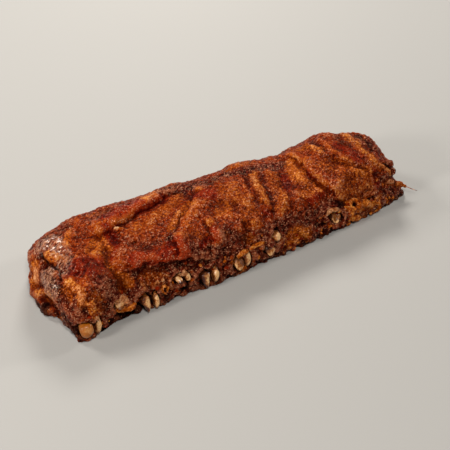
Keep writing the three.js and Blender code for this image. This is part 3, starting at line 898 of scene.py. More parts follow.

# Near-black patches: some burnt spots, and mostly painted shade in creases, pits, holes and the gaps at the
# foot between the bones.
CHAR_AND_SHADE_STAINS = (
    Stain("dark line of the crease", 0.6, 1.4,
          ((-185, 0.572), (-183, 0.528), (-179, 0.486), (-176, 0.454), (-179, 0.43))),
    Stain("dark red beside the seam", 0.4, 8, ((-150, 0.4), (-146, 0.32))),
    Stain("dark foot left of the second rib", 0.6, 8, ((-153, 0.04),)),
    Stain("char right of the third rib", 0.75, 7, ((-97, 0.11),)),
    Stain("char left of the sixth rib", 0.7, 5, ((-24, 0.09),)),
    Stain("char beside the strip at the right end", 0.8, 1.5, ((178, 0.318), (184, 0.27))),
    Stain("char left of the ninth rib", 0.7, 3, ((84, 0.13), (86, 0.11))),
    Stain("char left of the tenth rib", 1.0, 2.0, ((123, 0.175),)),
    Stain("char right of the tenth rib", 1.0, 2.2, ((141, 0.15), (150, 0.145))),
    Stain("char at the long step's foot", 0.7, 4, ((107, 0.24), (112, 0.21))),
    Stain("dark hole of the left end", 1.0, 5, ((0.435, 0.78), (0.43, 0.9)), Side.LEFT),
    Stain("char at the foot of the left end", 0.55, 9, ((0.3, 0.5), (0.2, 0.6)), Side.LEFT),
    Stain("char right of the left end's hole", 0.9, 7, ((0.48, 0.92),), Side.LEFT),
    Stain("char under the second rib head", 1.0, 6, ((-142, 0.08),)),
    Stain("char under the fourth rib head", 1.0, 6, ((-76, 0.08),)),
    Stain("char left of the fifth rib head", 1.0, 5, ((-60, 0.11),)),
)

STAINS = {
    Finish.BARK: BARK_STAINS,
    Finish.GLAZE: GLAZE_STAINS,
    Finish.GLOSS: GLOSS_STAINS,
    Finish.FAT: FAT_STAINS,
    Finish.PALE: PALE_STAINS,
    Finish.CHAR_AND_SHADE: CHAR_AND_SHADE_STAINS,
}


@dataclass(frozen=True)
class RibHead:
    """One rib: where it runs and how its sawn head looks.

    Attributes:
        near_x: x of its head at the near edge.
        far_x: x of its tip at the far edge.
        height: height of the head's middle.
        width: width of the head.
        depth: height of the head's outline.
        proud: how far it stands out of the meat, or lies inside it below 0.
        taper: how much narrower its foot is than its top.
        slope: how far its top is cut back, against its height.
        dome: how far its middle bulges, or sinks below 0.
        marrow: share of its radius that the marrow takes.
        warm: how orange the marrow is, from 0 to 1.
        opening: direction in which its rim is broken, in degrees from +X towards +Z, or None.
        clean: direction of its palest side, in the same degrees. That side is painted lit and the far side is
            painted in shade.
        amber: how much gristle covers it, from 0 to 1.
    """

    near_x: float
    far_x: float
    height: float
    width: float
    depth: float
    proud: float
    taper: float = 0.1
    slope: float = 0.5
    dome: float = 0.5
    marrow: float = 0.0
    warm: float = 0.3
    opening: Optional[float] = None
    clean: float = 60.0
    amber: float = 0.0


RIBS = (
    RibHead(-169.5, -151, 12, 12.5, 13, 3.5, taper=0.1, slope=0.2, dome=3.0, clean=40, amber=0.9),
    RibHead(-134, -121, 17.5, 10, 7, 0.5, taper=0.3, slope=0.9, dome=0.6, clean=100, amber=0.5),
    RibHead(-110.5, -92, 9.5, 11, 15.5, 5, taper=0.8, slope=0.35, dome=2.4, clean=20),
    RibHead(-77, -61, 20.5, 9, 6.5, 1.5, taper=0.5, slope=0.8, dome=1.2, clean=100, amber=0.1),
    RibHead(-51, -31, 10.5, 11, 13.5, 4.5, taper=0.5, slope=0.45, dome=2.5, opening=0, clean=0),
    RibHead(-16, -1, 12, 11, 10.5, 3.5, taper=0.35, slope=0.5, dome=2.4, opening=55, clean=230, amber=0.35),
    RibHead(17.5, 31, 13.5, 9.5, 9.5, 3, taper=0.15, slope=0.6, dome=2.0, opening=80, clean=-60, amber=0.2),
    RibHead(54, 64, 13, 9, 9, -3),
    RibHead(94, 97, 16.5, 10, 8.5, 2,
            taper=0.1, slope=0.5, dome=-2.0, marrow=0.66, warm=0.6, opening=50, clean=220),
    RibHead(124, 126, 15, 9, 8, -9),
    RibHead(158, 152, 13, 9, 9, -6),
)


@dataclass(frozen=True)
class RibForm:
    """The run and the section that all ribs share.

    Attributes:
        shaft_width: width of the shaft.
        shaft_depth: height of the shaft.
        tip_width: width of the tip.
        tip_proud: how far the tip stands out of the far edge.
        tip_height: height of the tip's middle.
        tip_share: share of the rib at which the shaft starts to narrow into the tip.
        straight: how far in from each edge the rib runs before it bends into the arch.
        inner_height: height that the rib behind the head tends to.
        far_rise: how much higher than the tip it enters the far edge.
        arch_shares: shares across the rack at which it follows the arch.
        cover: meat between the shaft and the hollow under the rack.
        head_share: share of the rib over which the head narrows into the shaft.
    """

    shaft_width: float = 9.5
    shaft_depth: float = 6.6
    tip_width: float = 8.0
    tip_proud: float = 1.5
    tip_height: float = 13.0
    tip_share: float = 0.8
    straight: float = 13.0
    inner_height: float = 15.0
    far_rise: float = 2.0
    arch_shares: Triple = (0.27, 0.5, 0.72)
    cover: float = 2.2
    head_share: float = 0.1

    def line(self, slab: SlabForm, rib: RibHead) -> Array:
        """Lays out the line that a rib's middle follows.

        Args:
            slab: the slab that it runs through.
            rib: the rib.

        Returns:
            Points on it from the head to the tip, one row each.
        """
        middle = np.array([(rib.near_x + rib.far_x) / 2.0])
        near, _, width, _, _ = (float(value[0]) for value in slab.section(middle))
        start = float(slab.section(np.array([rib.near_x]))[0][0])
        end = float(slab.section(np.array([rib.far_x]))[1][0])
        steps = np.linspace(0.0, 1.0, 101)
        arch_y, arch_z = slab.under(np.repeat(middle, len(steps)), steps).T
        lift = self.cover + self.shaft_depth / 2.0
        arch = []
        for share in self.arch_shares:
            y = near + share * width
            z = float(np.interp(y, arch_y, arch_z))
            arch.append((rib.near_x + (rib.far_x - rib.near_x) * share, y, z + lift))
        return np.array([
            (rib.near_x, start - rib.proud, rib.height),
            (rib.near_x, start + self.straight, (rib.height + self.inner_height) / 2.0),
            *arch,
            (rib.far_x, end - self.straight, self.tip_height + self.far_rise),
            (rib.far_x, end + self.tip_proud, self.tip_height),
        ])

    def half_sizes(self, rib: RibHead, share: Array) -> tuple[Array, Array]:
        """Reads the sizes of a rib's section.

        Args:
            rib: the rib.
            share: where on its run, from 0 at the head to 1.

        Returns:
            Half of its width and half of its height.
        """
        head = np.exp(-((share / self.head_share) ** 2))
        shaft = self.shaft_width + (self.tip_width - self.shaft_width) * ease(share, self.tip_share, 1.0)
        width = shaft + (rib.width - shaft) * head
        depth = self.shaft_depth + (rib.depth - self.shaft_depth) * head
        return width / 2.0, depth / 2.0


@dataclass(frozen=True)
class Button:
    """A thin button bone beside a rib head.

    Attributes:
        rib: number of the rib that it stands beside.
        side: how far it stands to the right of the rib's middle.
        height: height of its middle.
        length: how long it is from foot to top.
        width: its width.
        roll: how far its top leans to the right, in radians.
        proud: how far its face stands out of the meat.
        point: how pointed its ends are.
    """

    rib: int
    side: float
    height: float
    length: float
    width: float
    roll: float
    proud: float = 4.0
    point: float = 1.5

    # How deep every button bone is, and how far its top leans back, in radians.
    DEPTH = 12.0
    PITCH = 0.4

    @property
    def x(self) -> float:
        """X of its middle."""
        return RIBS[self.rib - 1].near_x + self.side


BUTTONS = (
    Button(1, 11.5, 9.5, 18, 6.5, 0.2, proud=6.0),
    Button(3, 9.5, 9, 16, 5.5, 0.1, proud=7.0),
    Button(4, 9, 18.5, 8, 5.5, 0.0, proud=3.5, point=2.5),
    Button(5, 10.5, 10.5, 16, 6.5, 0.25, proud=6.0),
    Button(6, 9.5, 12.5, 15.5, 6.5, 0.25, proud=4.5, point=2.0),
    Button(7, 8.5, 23.5, 11, 7.5, 0.3, point=1.8),
)


@dataclass
class Meat:
    """The slab of meat: its form, folds, crags, grains and stains.

    Attributes:
        slab: the bent block.
        grid: the mesh on it.
        bark_line: share across the top where the bark of the near slope starts, from left to right.
        swells: height, wavelength along and across, and phase of the long waves.
        lump_rise: height of the lumps along the two feet.
        lump_size: their wavelength.
        lump_reach: how far up the slopes they reach.
        ridge_rise: how far a rib raises the underside.
        ridge_width: width of that ridge.
        socket_depth: how deep the meat stands back round a rib head.
        button_depth: the same for a button bone.
        socket_gap: how wide the gap round a bone is.
        collar_rise: how far the meat swells round a bone's gap.
        hem_rise: how far the lower edge is lifted in places.
        base: the points of the bent block, once built.
        skin: the same points on the finished skin.
        outward: the skin's normals there.
        tree: finds the closest point of the base.
    """

    slab: SlabForm = field(default_factory=SlabForm)
    grid: SlabGrid = field(default_factory=SlabGrid)
    bark_line: tuple[float, ...] = (0.33, 0.33, 0.31, 0.29, 0.3, 0.29, 0.28, 0.27, 0.25)
    swells: tuple[tuple[float, ...], ...] = (
        (1.1, 96, 78, 0.7), (0.8, 57, 49, 2.1), (0.6, 33, 41, 4.4), (0.5, 21, 27, 1.3)
    )
    lump_rise: float = 1.3
    lump_size: float = 15.0
    lump_reach: float = 30.0
    ridge_rise: float = 1.9
    ridge_width: float = 6.6
    socket_depth: float = 5.0
    button_depth: float = 3.0
    socket_gap: float = 0.9
    collar_rise: float = 2.0
    hem_rise: float = 4.0
    base: Array = field(default_factory=lambda: np.zeros((0, 3)))
    skin: Array = field(default_factory=lambda: np.zeros((0, 3)))
    outward: Array = field(default_factory=lambda: np.zeros((0, 3)))
    tree: Optional[KDTree] = None

    # Shares of the swells and of the grain that the underside keeps.
    UNDER_SWELLS = 0.4
    UNDER_GRAIN = 0.35

    # How often heights are evened out for the fine and the broad part of the relief that the
    # material reads, and how much each part counts, for each millimetre.
    CLOSE = (10, 0.42)
    BROAD = (120, 0.09)

    def build(self) -> Piece:
        """Makes the skin as one closed mesh.

        Returns:
            The dressed slab.
        """
        shares, faces = self.grid.build()
        points = self.slab.place(shares)
        outward = normals_of(points, faces)
        if np.sum(outward[:, 2] * points[:, 2]) < 0:
            faces = [face[::-1] for face in faces]
            outward = -outward
        below = (shares[:, 2] > 0.999) & (np.abs(shares[:, 0]) < 1.0)
        stirred = points + self.stir(points)

        worn = self.stain(shares, stirred)
        shift = outward * np.where(below, self.UNDER_SWELLS, 1.0)[:, None] * self.unevenness(points)[:, None]
        shift += outward * (below * self.rib_ridges(points))[:, None]
        for fold in FOLDS:
            fold.raise_skin(self.slab, stirred, outward * ~below[:, None], shift)
        shift[:, 2] *= points[:, 2] > 0.0
        shaped = points + shift
        shaped += self.sockets(points, shaped, worn[Finish.CHAR_AND_SHADE])

        outward = normals_of(shaped, faces)
        rise = np.where(below, self.UNDER_GRAIN, 1.0) * self.grain(shares, points, worn)
        outward[:, 2] *= points[:, 2] > 0.0
        shaped += outward * rise[:, None]
        ragged = ease(shares[:, 2], 0.5, 0.1) * (points[:, 2] <= 0.0)
        shaped[:, 2] += ragged * np.maximum(0.0, waves(points, 7.0, 31)) * self.hem_rise
        shaped[:, 2] = np.maximum(0.0, shaped[:, 2])

        marks = {finish.value: value for finish, value in worn.items()}
        # The relief mark: how far the skin stands above its evened-out surroundings. The material paints it
        # as shade in creases and pits and as light on ridges.
        height = np.sum((shaped - points) * outward, axis=1)
        close, broad = (
            gain * (height - evened(height, faces, times)) for times, gain in (self.CLOSE, self.BROAD)
        )
        marks["relief"] = np.clip(0.5 + close + broad, 0.0, 1.0)
        marks["membrane"] = below.astype(float)
        self.base, self.skin, self.outward = points, shaped, normals_of(shaped, faces)
        return make_object("meat_slab", shaped, faces, marks)

    def surface(self, side: Side, stations: Sequence[Pair], steps: int) -> tuple[Array, Array]:
        """Even steps along a path on the finished skin.

        Args:
            side: the side of the slab that the path runs on.
            stations: the path's corners.
            steps: how many places are wanted.

        Returns:
            The places and the skin's normals there.
        """
        share = np.linspace(0.0, len(stations) - 1.0, steps)
        pair = [np.interp(share, np.arange(len(stations)), values) for values in zip(*stations)]
        places = self.slab.path(side, list(zip(*pair)))
        if self.tree is None:
            self.tree = KDTree(len(self.base))
            for index, point in enumerate(self.base.tolist()):
                self.tree.insert(point, index)
            self.tree.balance()
        nearest = [self.tree.find(place)[1] for place in places.tolist()]
        return self.skin[nearest], self.outward[nearest]

    @staticmethod
    def stir(points: Array) -> Array:
        """Small shifts that make paths and stains wander."""
        return 2.6 * shake(points, 15.0, 1, 2, 3) + 1.3 * shake(points, 5.0, 4, 5, 6)

    def unevenness(self, points: Array) -> Array:
        """Works out the long waves of the skin and the lumps along its feet.

        Args:
            points: the points of the bent block.

        Returns:
            How far they raise each point.
        """
        x, y, z = points.T
        rise = np.zeros(len(points))
        for height, lengthwise, crosswise, phase in self.swells:
            wave = np.sin(2.0 * np.pi * x / lengthwise + phase)
            rise += height * wave * np.cos(2.0 * np.pi * (y + z) / crosswise + 2.0 * phase)
        low = np.clip(1.0 - z / self.lump_reach, 0.0, 1.0) * np.where(y < 0.0, 1.0, 0.6)
        turn = 2.0 * np.pi / self.lump_size
        return rise + self.lump_rise * low * np.sin(turn * x) * np.cos(turn * (z + 0.4 * x))

    def rib_ridges(self, points: Array) -> Array:
        """Works out the ridges of the ribs on the underside.

        Args:
            points: the points of the bent block.

        Returns:
            How far they raise each point.
        """
        near, _, width, _, _ = self.slab.section(points[:, 0])
        across = np.clip((points[:, 1] - near) / width, 0.0, 1.0)
        ridge = np.zeros(len(points))
        for rib in RIBS:
            middle = rib.near_x + (rib.far_x - rib.near_x) * across
            ridge += np.exp(-(((points[:, 0] - middle) / self.ridge_width) ** 2))
        return self.ridge_rise * ridge

    def sockets(self, points: Array, shaped: Array, char: Array) -> Array:
        """Sinks the meat round the bones at the near edge, raises a collar round each, and paints shade into
        the gap round each.

        Args:
            points: the points of the bent block.
            shaped: the same points with their folds.
            char: how charred and how shaded each point is, to which this adds painted shade in the gap round
                each bone.

        Returns:
            The shift of each point.
        """
        shift = np.zeros_like(points)
        holes = [(r.near_x, r.height, r.width, r.depth, self.socket_depth) for r in RIBS if r.proud > 0]
        holes += [(b.x, b.height, b.width, 0.9 * b.length, self.button_depth) for b in BUTTONS]
        face = ease(points[:, 1] - self.slab.section(points[:, 0])[0], 16.0, 6.0)
        for x, z, width, depth, sunk in holes:
            # Apart is 1 on the rim of the gap, and the collar stands a little outside it.
            apart = np.hypot(
                (shaped[:, 0] - x) / (width / 2.0 + self.socket_gap),
                (shaped[:, 2] - z) / (depth / 2.0 + self.socket_gap),
            )
            apart = apart + 0.12 * waves(points, 3.0, 11)
            shift[:, 1] += face * sunk * ease(apart, 1.3, 0.98)
            collar = self.collar_rise * np.exp(-(((apart - 1.6) / 0.3) ** 2))
            shift[:, 1] -= face * collar * (0.5 + waves(points, 6.0, 12))
            # Painted shade in the gap round each bone.
            np.maximum(char, 0.85 * face * ease(apart, 1.42, 1.1), out=char)
        return shift

    def stain(self, shares: Array, points: Array) -> dict[Finish, Array]:
        """Works out what the skin wears.

        Args:
            shares: the shares a, b and c of each point.
            points: the points, slightly stirred.

        Returns:
            How much of each finish each point wears.
        """
        a, b, c = shares.T
        worn = {finish: np.zeros(len(points)) for finish in Finish}
        for finish, stains in STAINS.items():
            for stain in stains:
                stain.paint(self.slab, points, worn[finish])
        # The bark covers the near slope, the far slope and the ends, with patchy edges.
        patchy = waves(points, 13.0, 21) + 0.6 * waves(points, 6.0, 22)
        line = spline(np.array(self.bark_line), (a + 1.0) / 2.0)
        slope = ease(b - line + 0.035 * patchy, 0.02, -0.025) * (0.78 + 0.3 * patchy)
        far = ease(b + 0.03 * patchy, 0.66, 0.74) * (0.6 + 0.35 * patchy)
        ends = ease(np.abs(a), 0.985, 1.0) * (0.45 + 0.5 * patchy)
        bark = np.clip(np.maximum.reduce([slope, far, ends]), 0.0, 1.0)
        bark = bark * (1.0 - 0.9 * worn[Finish.FAT]) * (1.0 - worn[Finish.PALE])
        loose = 0.55 * blotches(points, 11.0, 23, 1.8, 0.55)
        amber = 0.6 * blotches(points, 9.0, 25, 2.4, 0.5) * ease(b, 0.2, 0.12)
        scattered = {
            Finish.BARK: bark,
            Finish.GLAZE: 0.5 * blotches(points, 17.0, 24, 1.8, 0.6),
            Finish.FAT: np.maximum(loose, amber) * (c < 0.5),
            # Darker towards the floor: painted shade along the foot, with patchy edges.
            Finish.CHAR_AND_SHADE: ease(points[:, 2], 15.0, 2.0) * (0.5 + 0.35 * patchy),
        }
        for finish, cover in scattered.items():
            worn[finish] = np.maximum(worn[finish], cover)
        return worn

    def grain(self, shares: Array, points: Array, worn: dict[Finish, Array]) -> Array:
        """Works out the crags, fibres and grains of the skin.

        Args:
            shares: the shares a, b and c of each point.
            points: the points of the bent block.
            worn: how much of each finish each point wears.

        Returns:
            How far they raise each point.
        """
        c = shares[:, 2]
        smooth = 1.0 - 0.75 * np.clip(worn[Finish.FAT] + worn[Finish.PALE], 0.0, 1.0)
        smooth *= 1.0 - 0.3 * worn[Finish.GLAZE]
        low = ease(points[:, 2], 30.0, 12.0) * np.where(points[:, 1] < 0.0, 1.0, 0.55)
        raw = np.clip(np.maximum(low, ease(c, 0.02, 0.25)), 0.0, 1.0)
        crags = 1.0 - 2.2 * np.abs(waves(points, 8.0, 41))
        shreds = 1.0 - 2.0 * np.abs(waves(points * np.array([1.0, 0.6, 0.45]), 3.6, 42))
        fibre_turn = np.array([[0.8, 0.6, 0.0], [-0.6, 0.8, 0.0], [0.0, 0.0, 1.0]])
        fibre = waves(points @ fibre_turn * np.array([0.3, 1.0, 0.8]), 2.8, 43)
        fine = pebbles(points, 3.4, 44) - 0.5
        rough = waves(points, 2.7, 45)
        # The weights are heights in millimetres.
        crust = 0.75 * fine + 0.55 * rough + 0.5 * fibre
        craggy = 1.1 * crags + 0.8 * shreds + 0.5 * rough
        heavy = 1.0 + 0.5 * worn[Finish.BARK]
        return crust * smooth * heavy * (1.0 - 0.5 * raw) + craggy * raw * smooth


def tube(rings: Sequence[Array]) -> Mesh:
    """A closed mesh through rings of points.

    Args:
        rings: as many points each, in the same order round.

    Returns:
        The points, with one at the middle of each end last, and the corner numbers of each face.
    """
    sides = len(rings[0])
    points = np.vstack([*rings, rings[0].mean(0), rings[-1].mean(0)])
    side = np.arange(sides)
    after = (side + 1) % sides
    faces = []
    for start in range(0, sides * (len(rings) - 1), sides):
        faces += (start + np.stack([side, after, after + sides, side + sides], axis=1)).tolist()
    last = sides * (len(rings) - 1)
    faces += np.stack([np.full(sides, len(points) - 2), after, side], axis=1).tolist()
    faces += np.stack([np.full(sides, len(points) - 1), side + last, after + last], axis=1).tolist()
    return points, faces


class Ribs:
    """The rib bones, from their sawn heads to their tips."""

    # Points round a rib, sizes of the rings on the face of an end, and how far its edge is rounded.
    SIDES = 36
    CAP = (1.0, 0.97, 0.92, 0.86, 0.8, 0.73, 0.66, 0.58, 0.48, 0.36, 0.22, 0.1)
    EDGE = 0.7

    # Shares of the run up to which the cut and the broken rim reach, and the marrow of the tips.
    CUT_SHARE = 0.03
    BREAK_SHARE = 0.02
    TIP_MARROW = 0.65

    def __init__(self, slab: SlabForm, form: RibForm) -> None:
        """Keeps the slab that the ribs run through and the form that they share."""
        self.slab = slab
        self.form = form

    def ring(self, rib: RibHead, line: Array, share: float, scale: float) -> Array:
        """The points of one ring of a rib.

        Args:
            rib: the rib.
            line: the points of its middle line.
            share: share of its run.
            scale: size of the ring against the full section. Below 1 it lies on the face of an end.

        Returns:
            The points in millimetres, one row each.
        """
        at, tangent = thread(line, np.array([share]))
        half_width, half_depth = (float(value[0]) for value in self.form.half_sizes(rib, np.array([share])))
        turn = around(self.SIDES)
        upwards = np.cross((1.0, 0.0, 0.0), tangent[0])
        upwards /= np.linalg.norm(upwards)
        up = np.sin(turn)
        head = math.exp(-((share / self.form.head_share) ** 2))
        narrow = 1.0 - head * rib.taper * (1.0 - up) / 2.0
        points = np.repeat(at, self.SIDES, axis=0)
        points[:, 0] += np.cos(turn) * half_width * scale * narrow
        points += np.outer(up * half_depth * scale, upwards)
        # The tip is only rounded. The head is cut back at the top, domed, hollowed and broken.
        if share > 0.5:
            points -= tangent[0] * self.EDGE * (1.0 if scale > 0.95 else -0.3)
            return points
        cut = rib.slope * (0.35 + up * scale) * half_depth * math.exp(-((share / self.CUT_SHARE) ** 2))
        if scale < 1.0:
            cut -= self.EDGE * ease(np.array([scale]), 1.0, 0.85) + rib.dome * (1.0 - scale**2)
            sunk = ease(np.array([scale]), rib.marrow, rib.marrow - 0.18)
            cut += 1.2 * sunk * (rib.marrow > 0.0)
        if rib.opening is not None:
            away = turned(turn, rib.opening)
            broken = np.exp(-((away / 0.7) ** 2)) * math.exp(-((share / self.BREAK_SHARE) ** 2))
            cut += 2.4 * broken * ease(np.array([scale]), 0.4, 0.7)
        points += np.outer(cut, tangent[0])
        return points

    def build(self, index: int) -> Piece:
        """Makes one rib as a closed mesh.

        Args:
            index: its place in the list of ribs, from 0.

        Returns:
            The rib.
        """
        rib = RIBS[index]
        line = self.form.line(self.slab, rib)
        run = [0.006, 0.014, *np.linspace(0.026, 0.16, 12), *np.linspace(0.2, 0.94, 22), 0.965, 0.988]
        stations = [(0.0, scale) for scale in reversed(self.CAP)]
        stations += [(share, 1.0) for share in run]
        stations += [(1.0, scale) for scale in self.CAP]
        points, faces = tube([self.ring(rib, line, share, scale) for share, scale in stations])
        shares, scales = np.repeat(np.array(stations), self.SIDES, axis=0).T
        shares = np.concatenate([shares, [0.0, 1.0]])
        scales = np.concatenate([scales, [0.0, 0.0]])
        turns = np.concatenate([np.tile(around(self.SIDES), len(stations)), [0.0, 0.0]])
        # Marrow shows on the faces of both ends, and in the gap of a broken rim.
        size = np.where(shares < 0.5, rib.marrow, self.TIP_MARROW)
        marrow = ease(scales, size, size - 0.12) * (size > 0.0)
        if rib.marrow > 0.0 and rib.opening is not None:
            away = np.abs(turned(turns, rib.opening))
            marrow = np.maximum(marrow, ease(away, 1.2, 0.8) * (shares < self.CUT_SHARE))
        # Each head is painted paler on one side as painted light and browner on the other as painted shade,
        # with uneven edges.
        across = np.minimum(scales, 1.0) * np.cos(turns - math.radians(rib.clean))
        clean = ease(across + 0.35 * waves(points, 5.0, index + 20), -0.75, 0.35)
        points += 0.45 * shake(points, 3.6, index, index + 50, index + 70)
        at_head = (shares < 0.1)[:, None]
        points += 0.9 * shake(points, 8.0, index + 10, index + 60, index + 80) * at_head
        points[:, 1] += marrow * 0.6 * waves(points, 1.4, index + 90)
        clean *= 1.0 - 0.75 * ease(scales, 0.8, 1.0)
        amber = rib.amber * ease(shares, 0.12, 0.03)
        marks = {"marrow": marrow, "amber": amber, "clean": clean, "warm": np.full(len(points), rib.warm)}
        return make_object(f"rib_{index + 1:02d}", points, faces, marks)


class Buttons:
    """The thin button bones."""

    # Points round a bone, rings along it, how blunt its section is, and share of its depth at which
    # its face is sawn off.
    SIDES = 28
    RINGS = 34
    BLUNT = 1.6
    SAWN = -0.42

    def __init__(self, slab: SlabForm) -> None:
        """Keeps the slab that they stand in."""
        self.slab = slab

    def build(self, button: Button) -> Piece:
        """Makes one button bone: a blade with pointed ends and a sawn face.

        Args:
            button: the button bone.

        Returns:
            The bone.
        """
        turn = around(self.SIDES)
        at_sides = ease(np.abs(np.cos(turn)), 0.45, 0.95)
        rings, worn = [], []
        for height in np.cos(np.linspace(0.03, math.pi - 0.03, self.RINGS)):
            size = (1.0 - abs(height) ** button.point) ** (1.0 / self.BLUNT)
            x = np.cos(turn) * size * button.width / 2.0
            y = np.maximum(np.sin(turn) * size * button.DEPTH / 2.0, self.SAWN * button.DEPTH)
            rings.append(np.stack([x, y, np.full_like(x, height * button.length / 2.0)], axis=1))
            worn.append(np.maximum(at_sides, ease(np.full_like(x, size), 0.85, 0.4)))
        points, faces = tube(rings)
        pitch, roll = button.PITCH, button.roll
        x, y, z = points.T
        y, z = y * math.cos(pitch) + z * math.sin(pitch), z * math.cos(pitch) - y * math.sin(pitch)
        x, z = x * math.cos(roll) + z * math.sin(roll), z * math.cos(roll) - x * math.sin(roll)
        y = y + self.slab.section(np.array([button.x]))[0][0] - button.proud + button.DEPTH / 2.0
        points = np.stack([x + button.x, y, z + button.height], axis=1)
        points += 0.25 * shake(points, 2.6, *(button.rib + seed for seed in (100, 120, 140)))
        # Darker towards the blade's narrow sides and its ends.
        edges = np.concatenate([*worn, [1.0, 1.0]])
        clean = np.clip(1.0 - 0.65 * edges + 0.3 * waves(points, 5.0, button.rib + 160), 0.0, 1.0)
        bare = np.zeros(len(points))
        marks = {"marrow": bare, "amber": bare, "clean": clean, "warm": bare}
        return make_object(f"button_{button.rib:02d}", points, faces, marks)


@dataclass(frozen=True)
class Shred:
    """A shred, lump or curl that grows out of the skin.

    Attributes:
        of: what it is.
        stations: the corners of the path that it follows.
        width: how wide it is.
        height: how high it stands.
        worn: what it wears, and how much of it.
        side: the side of the slab.
        lift: how far its middle is lifted off the skin.
    """

    of: str
    stations: Path
    width: float
    height: float
    worn: tuple[tuple[Finish, float], ...] = ()
    side: Side = Side.TOP
    lift: float = 0.0


FATTY = ((Finish.FAT, 0.85),)
CREAM = ((Finish.PALE, 0.9),)
GRISTLE = ((Finish.FAT, 0.6), (Finish.PALE, 0.75))
WET = ((Finish.GLAZE, 0.9),)
DARK = ((Finish.BARK, 0.9),)

SHREDS = (
    Shred("gristle over the first rib", ((-172, 0.16), (-170, 0.24), (-171, 0.28)), 8, 3.0,
          ((Finish.FAT, 0.6), (Finish.BARK, 0.3))),
    Shred("pale tip over the first rib", ((-169, 0.14), (-168, 0.17)), 5, 2.5, CREAM),
    Shred("gristle over the second rib", ((-147, 0.17), (-141, 0.155), (-133, 0.15)), 8, 4.6, GRISTLE),
    Shred("edge of the gristle", ((-145, 0.145), (-139, 0.128), (-133, 0.135)), 5, 4.6, CREAM),
    Shred("shelf under the second rib",
          ((-146, 0.115), (-139, 0.1), (-131, 0.11), (-126, 0.125)), 5, 3.0, FATTY),
    Shred("ring of gristle",
          ((-97, 0.11), (-93, 0.135), (-97, 0.16), (-101, 0.135), (-97, 0.11)), 2.6, 1.6, FATTY),
    Shred("pale crumb", ((-103, 0.19), (-101, 0.2)), 3.5, 1.8, CREAM),
    Shred("pale crumb on the right", ((-98, 0.195), (-95, 0.2)), 3.2, 1.6, CREAM),
    Shred("red shred", ((-106, 0.16), (-102, 0.165)), 4, 2.0, WET),
    Shred("point over the fourth rib", ((-76, 0.17), (-74, 0.22)), 3.4, 2.2, CREAM),
    Shred("wedge over the fourth rib", ((-83, 0.155), (-76, 0.17), (-71, 0.165)), 5, 2.4, CREAM),
    Shred("cap over the fifth rib", ((-54, 0.155), (-47, 0.175), (-40, 0.165)), 4, 2.4, DARK),
    Shred("cap over the sixth rib", ((-17, 0.15), (-11, 0.175), (-4, 0.165)), 5, 2.8, FATTY),
    Shred("dark piece over the sixth rib", ((-15, 0.135), (-7, 0.15)), 4, 2.6, DARK),
    Shred("trail of fat", ((-4, 0.17), (5, 0.18), (14, 0.185)), 4, 1.6, FATTY),
    Shred("collar of the seventh rib", ((14, 0.155), (20, 0.165), (27, 0.15)), 4, 3.2, DARK),
    Shred("fold over the ninth rib", ((90, 0.175), (94, 0.2), (101, 0.195), (105, 0.18)), 4.5, 2.2, CREAM),
    Shred("collar right of the ninth rib",
          ((112, 0.185), (116, 0.15), (116, 0.11), (111, 0.065)), 3, 2.4, FATTY),
    Shred("red piece in the ninth rib", ((97, 0.165), (102, 0.15), (103, 0.125)), 4, 2.6, WET),
    Shred("ring round the hole",
          ((118, 0.175), (121, 0.2), (126, 0.2), (129, 0.175), (126, 0.15), (120, 0.15), (118, 0.175)),
          4, 3.0, FATTY),
    Shred("lobe right of the hole", ((129, 0.165), (135, 0.15), (141, 0.125)), 8, 4.0, FATTY),
    Shred("shell at the foot",
          ((143, 0.13), (148, 0.115), (150, 0.09), (147, 0.065), (143, 0.055)), 3.4, 3.0, FATTY),
    Shred("piece in the shell", ((145, 0.1), (146, 0.08)), 6, 2.6, DARK),
    Shred("knob at the foot on the right", ((154, 0.11), (160, 0.07)), 9, 4.5, DARK),
    Shred("rim of the knob", ((158, 0.12), (163, 0.085), (162, 0.04)), 3, 3.4, FATTY),
    Shred("hanging point", ((114, 0.1), (121, 0.07), (127, 0.035)), 7, 3.2, FATTY),
    Shred("pale patch over the tenth rib",
          ((140, 0.19), (147, 0.187), (153, 0.165)), 5, 1.6, ((Finish.PALE, 0.3),)),
    Shred("strip by the right end", ((172, 0.33), (177, 0.295), (182, 0.255), (185, 0.222)), 3.2, 1.8,
          ((Finish.FAT, 0.9), (Finish.PALE, 0.35))),
    Shred("nub beyond the strip", ((183, 0.322), (186, 0.29)), 5.5, 3.4, DARK, lift=1.0),
    Shred("second nub beyond the strip", ((0.28, 0.06), (0.24, 0.09)), 5, 3.6, DARK, Side.RIGHT, 1.0),
    Shred("pale piece near the tip",
          ((175, 0.185), (181, 0.18), (184, 0.16)), 5, 1.6, ((Finish.PALE, 0.45),)),
)


@dataclass(frozen=True)
class Wisp:
    """A torn fibre that stands off the skin.

    Attributes:
        of: what it is.
        run: places that it runs through, from its station, in millimetres.
        root: its width where it starts.
        tip: its width where it ends.
        side: the side of the slab that it grows from.
        station: where on that side.
    """

    of: str
    run: tuple[Triple, ...]
    root: float
    tip: float
    side: Side = Side.RIGHT
    station: Pair = (0.13, 0.23)


WISPS = (
    Wisp("torn tip at the right end", ((-4, 1, 1), (1, 0, 0), (4, -1.5, -1.5), (7, -3, -3)), 9, 2.4),
    Wisp("hair on the torn tip", ((6, -2.5, -2.5), (9, -6, -3.5), (12, -8, -5), (14, -12, -5)), 0.9, 0.4),
    Wisp("hair beside it", ((6, -2.5, -2.5), (8, -7, -2.5), (11, -9, -4)), 0.6, 0.3),
)


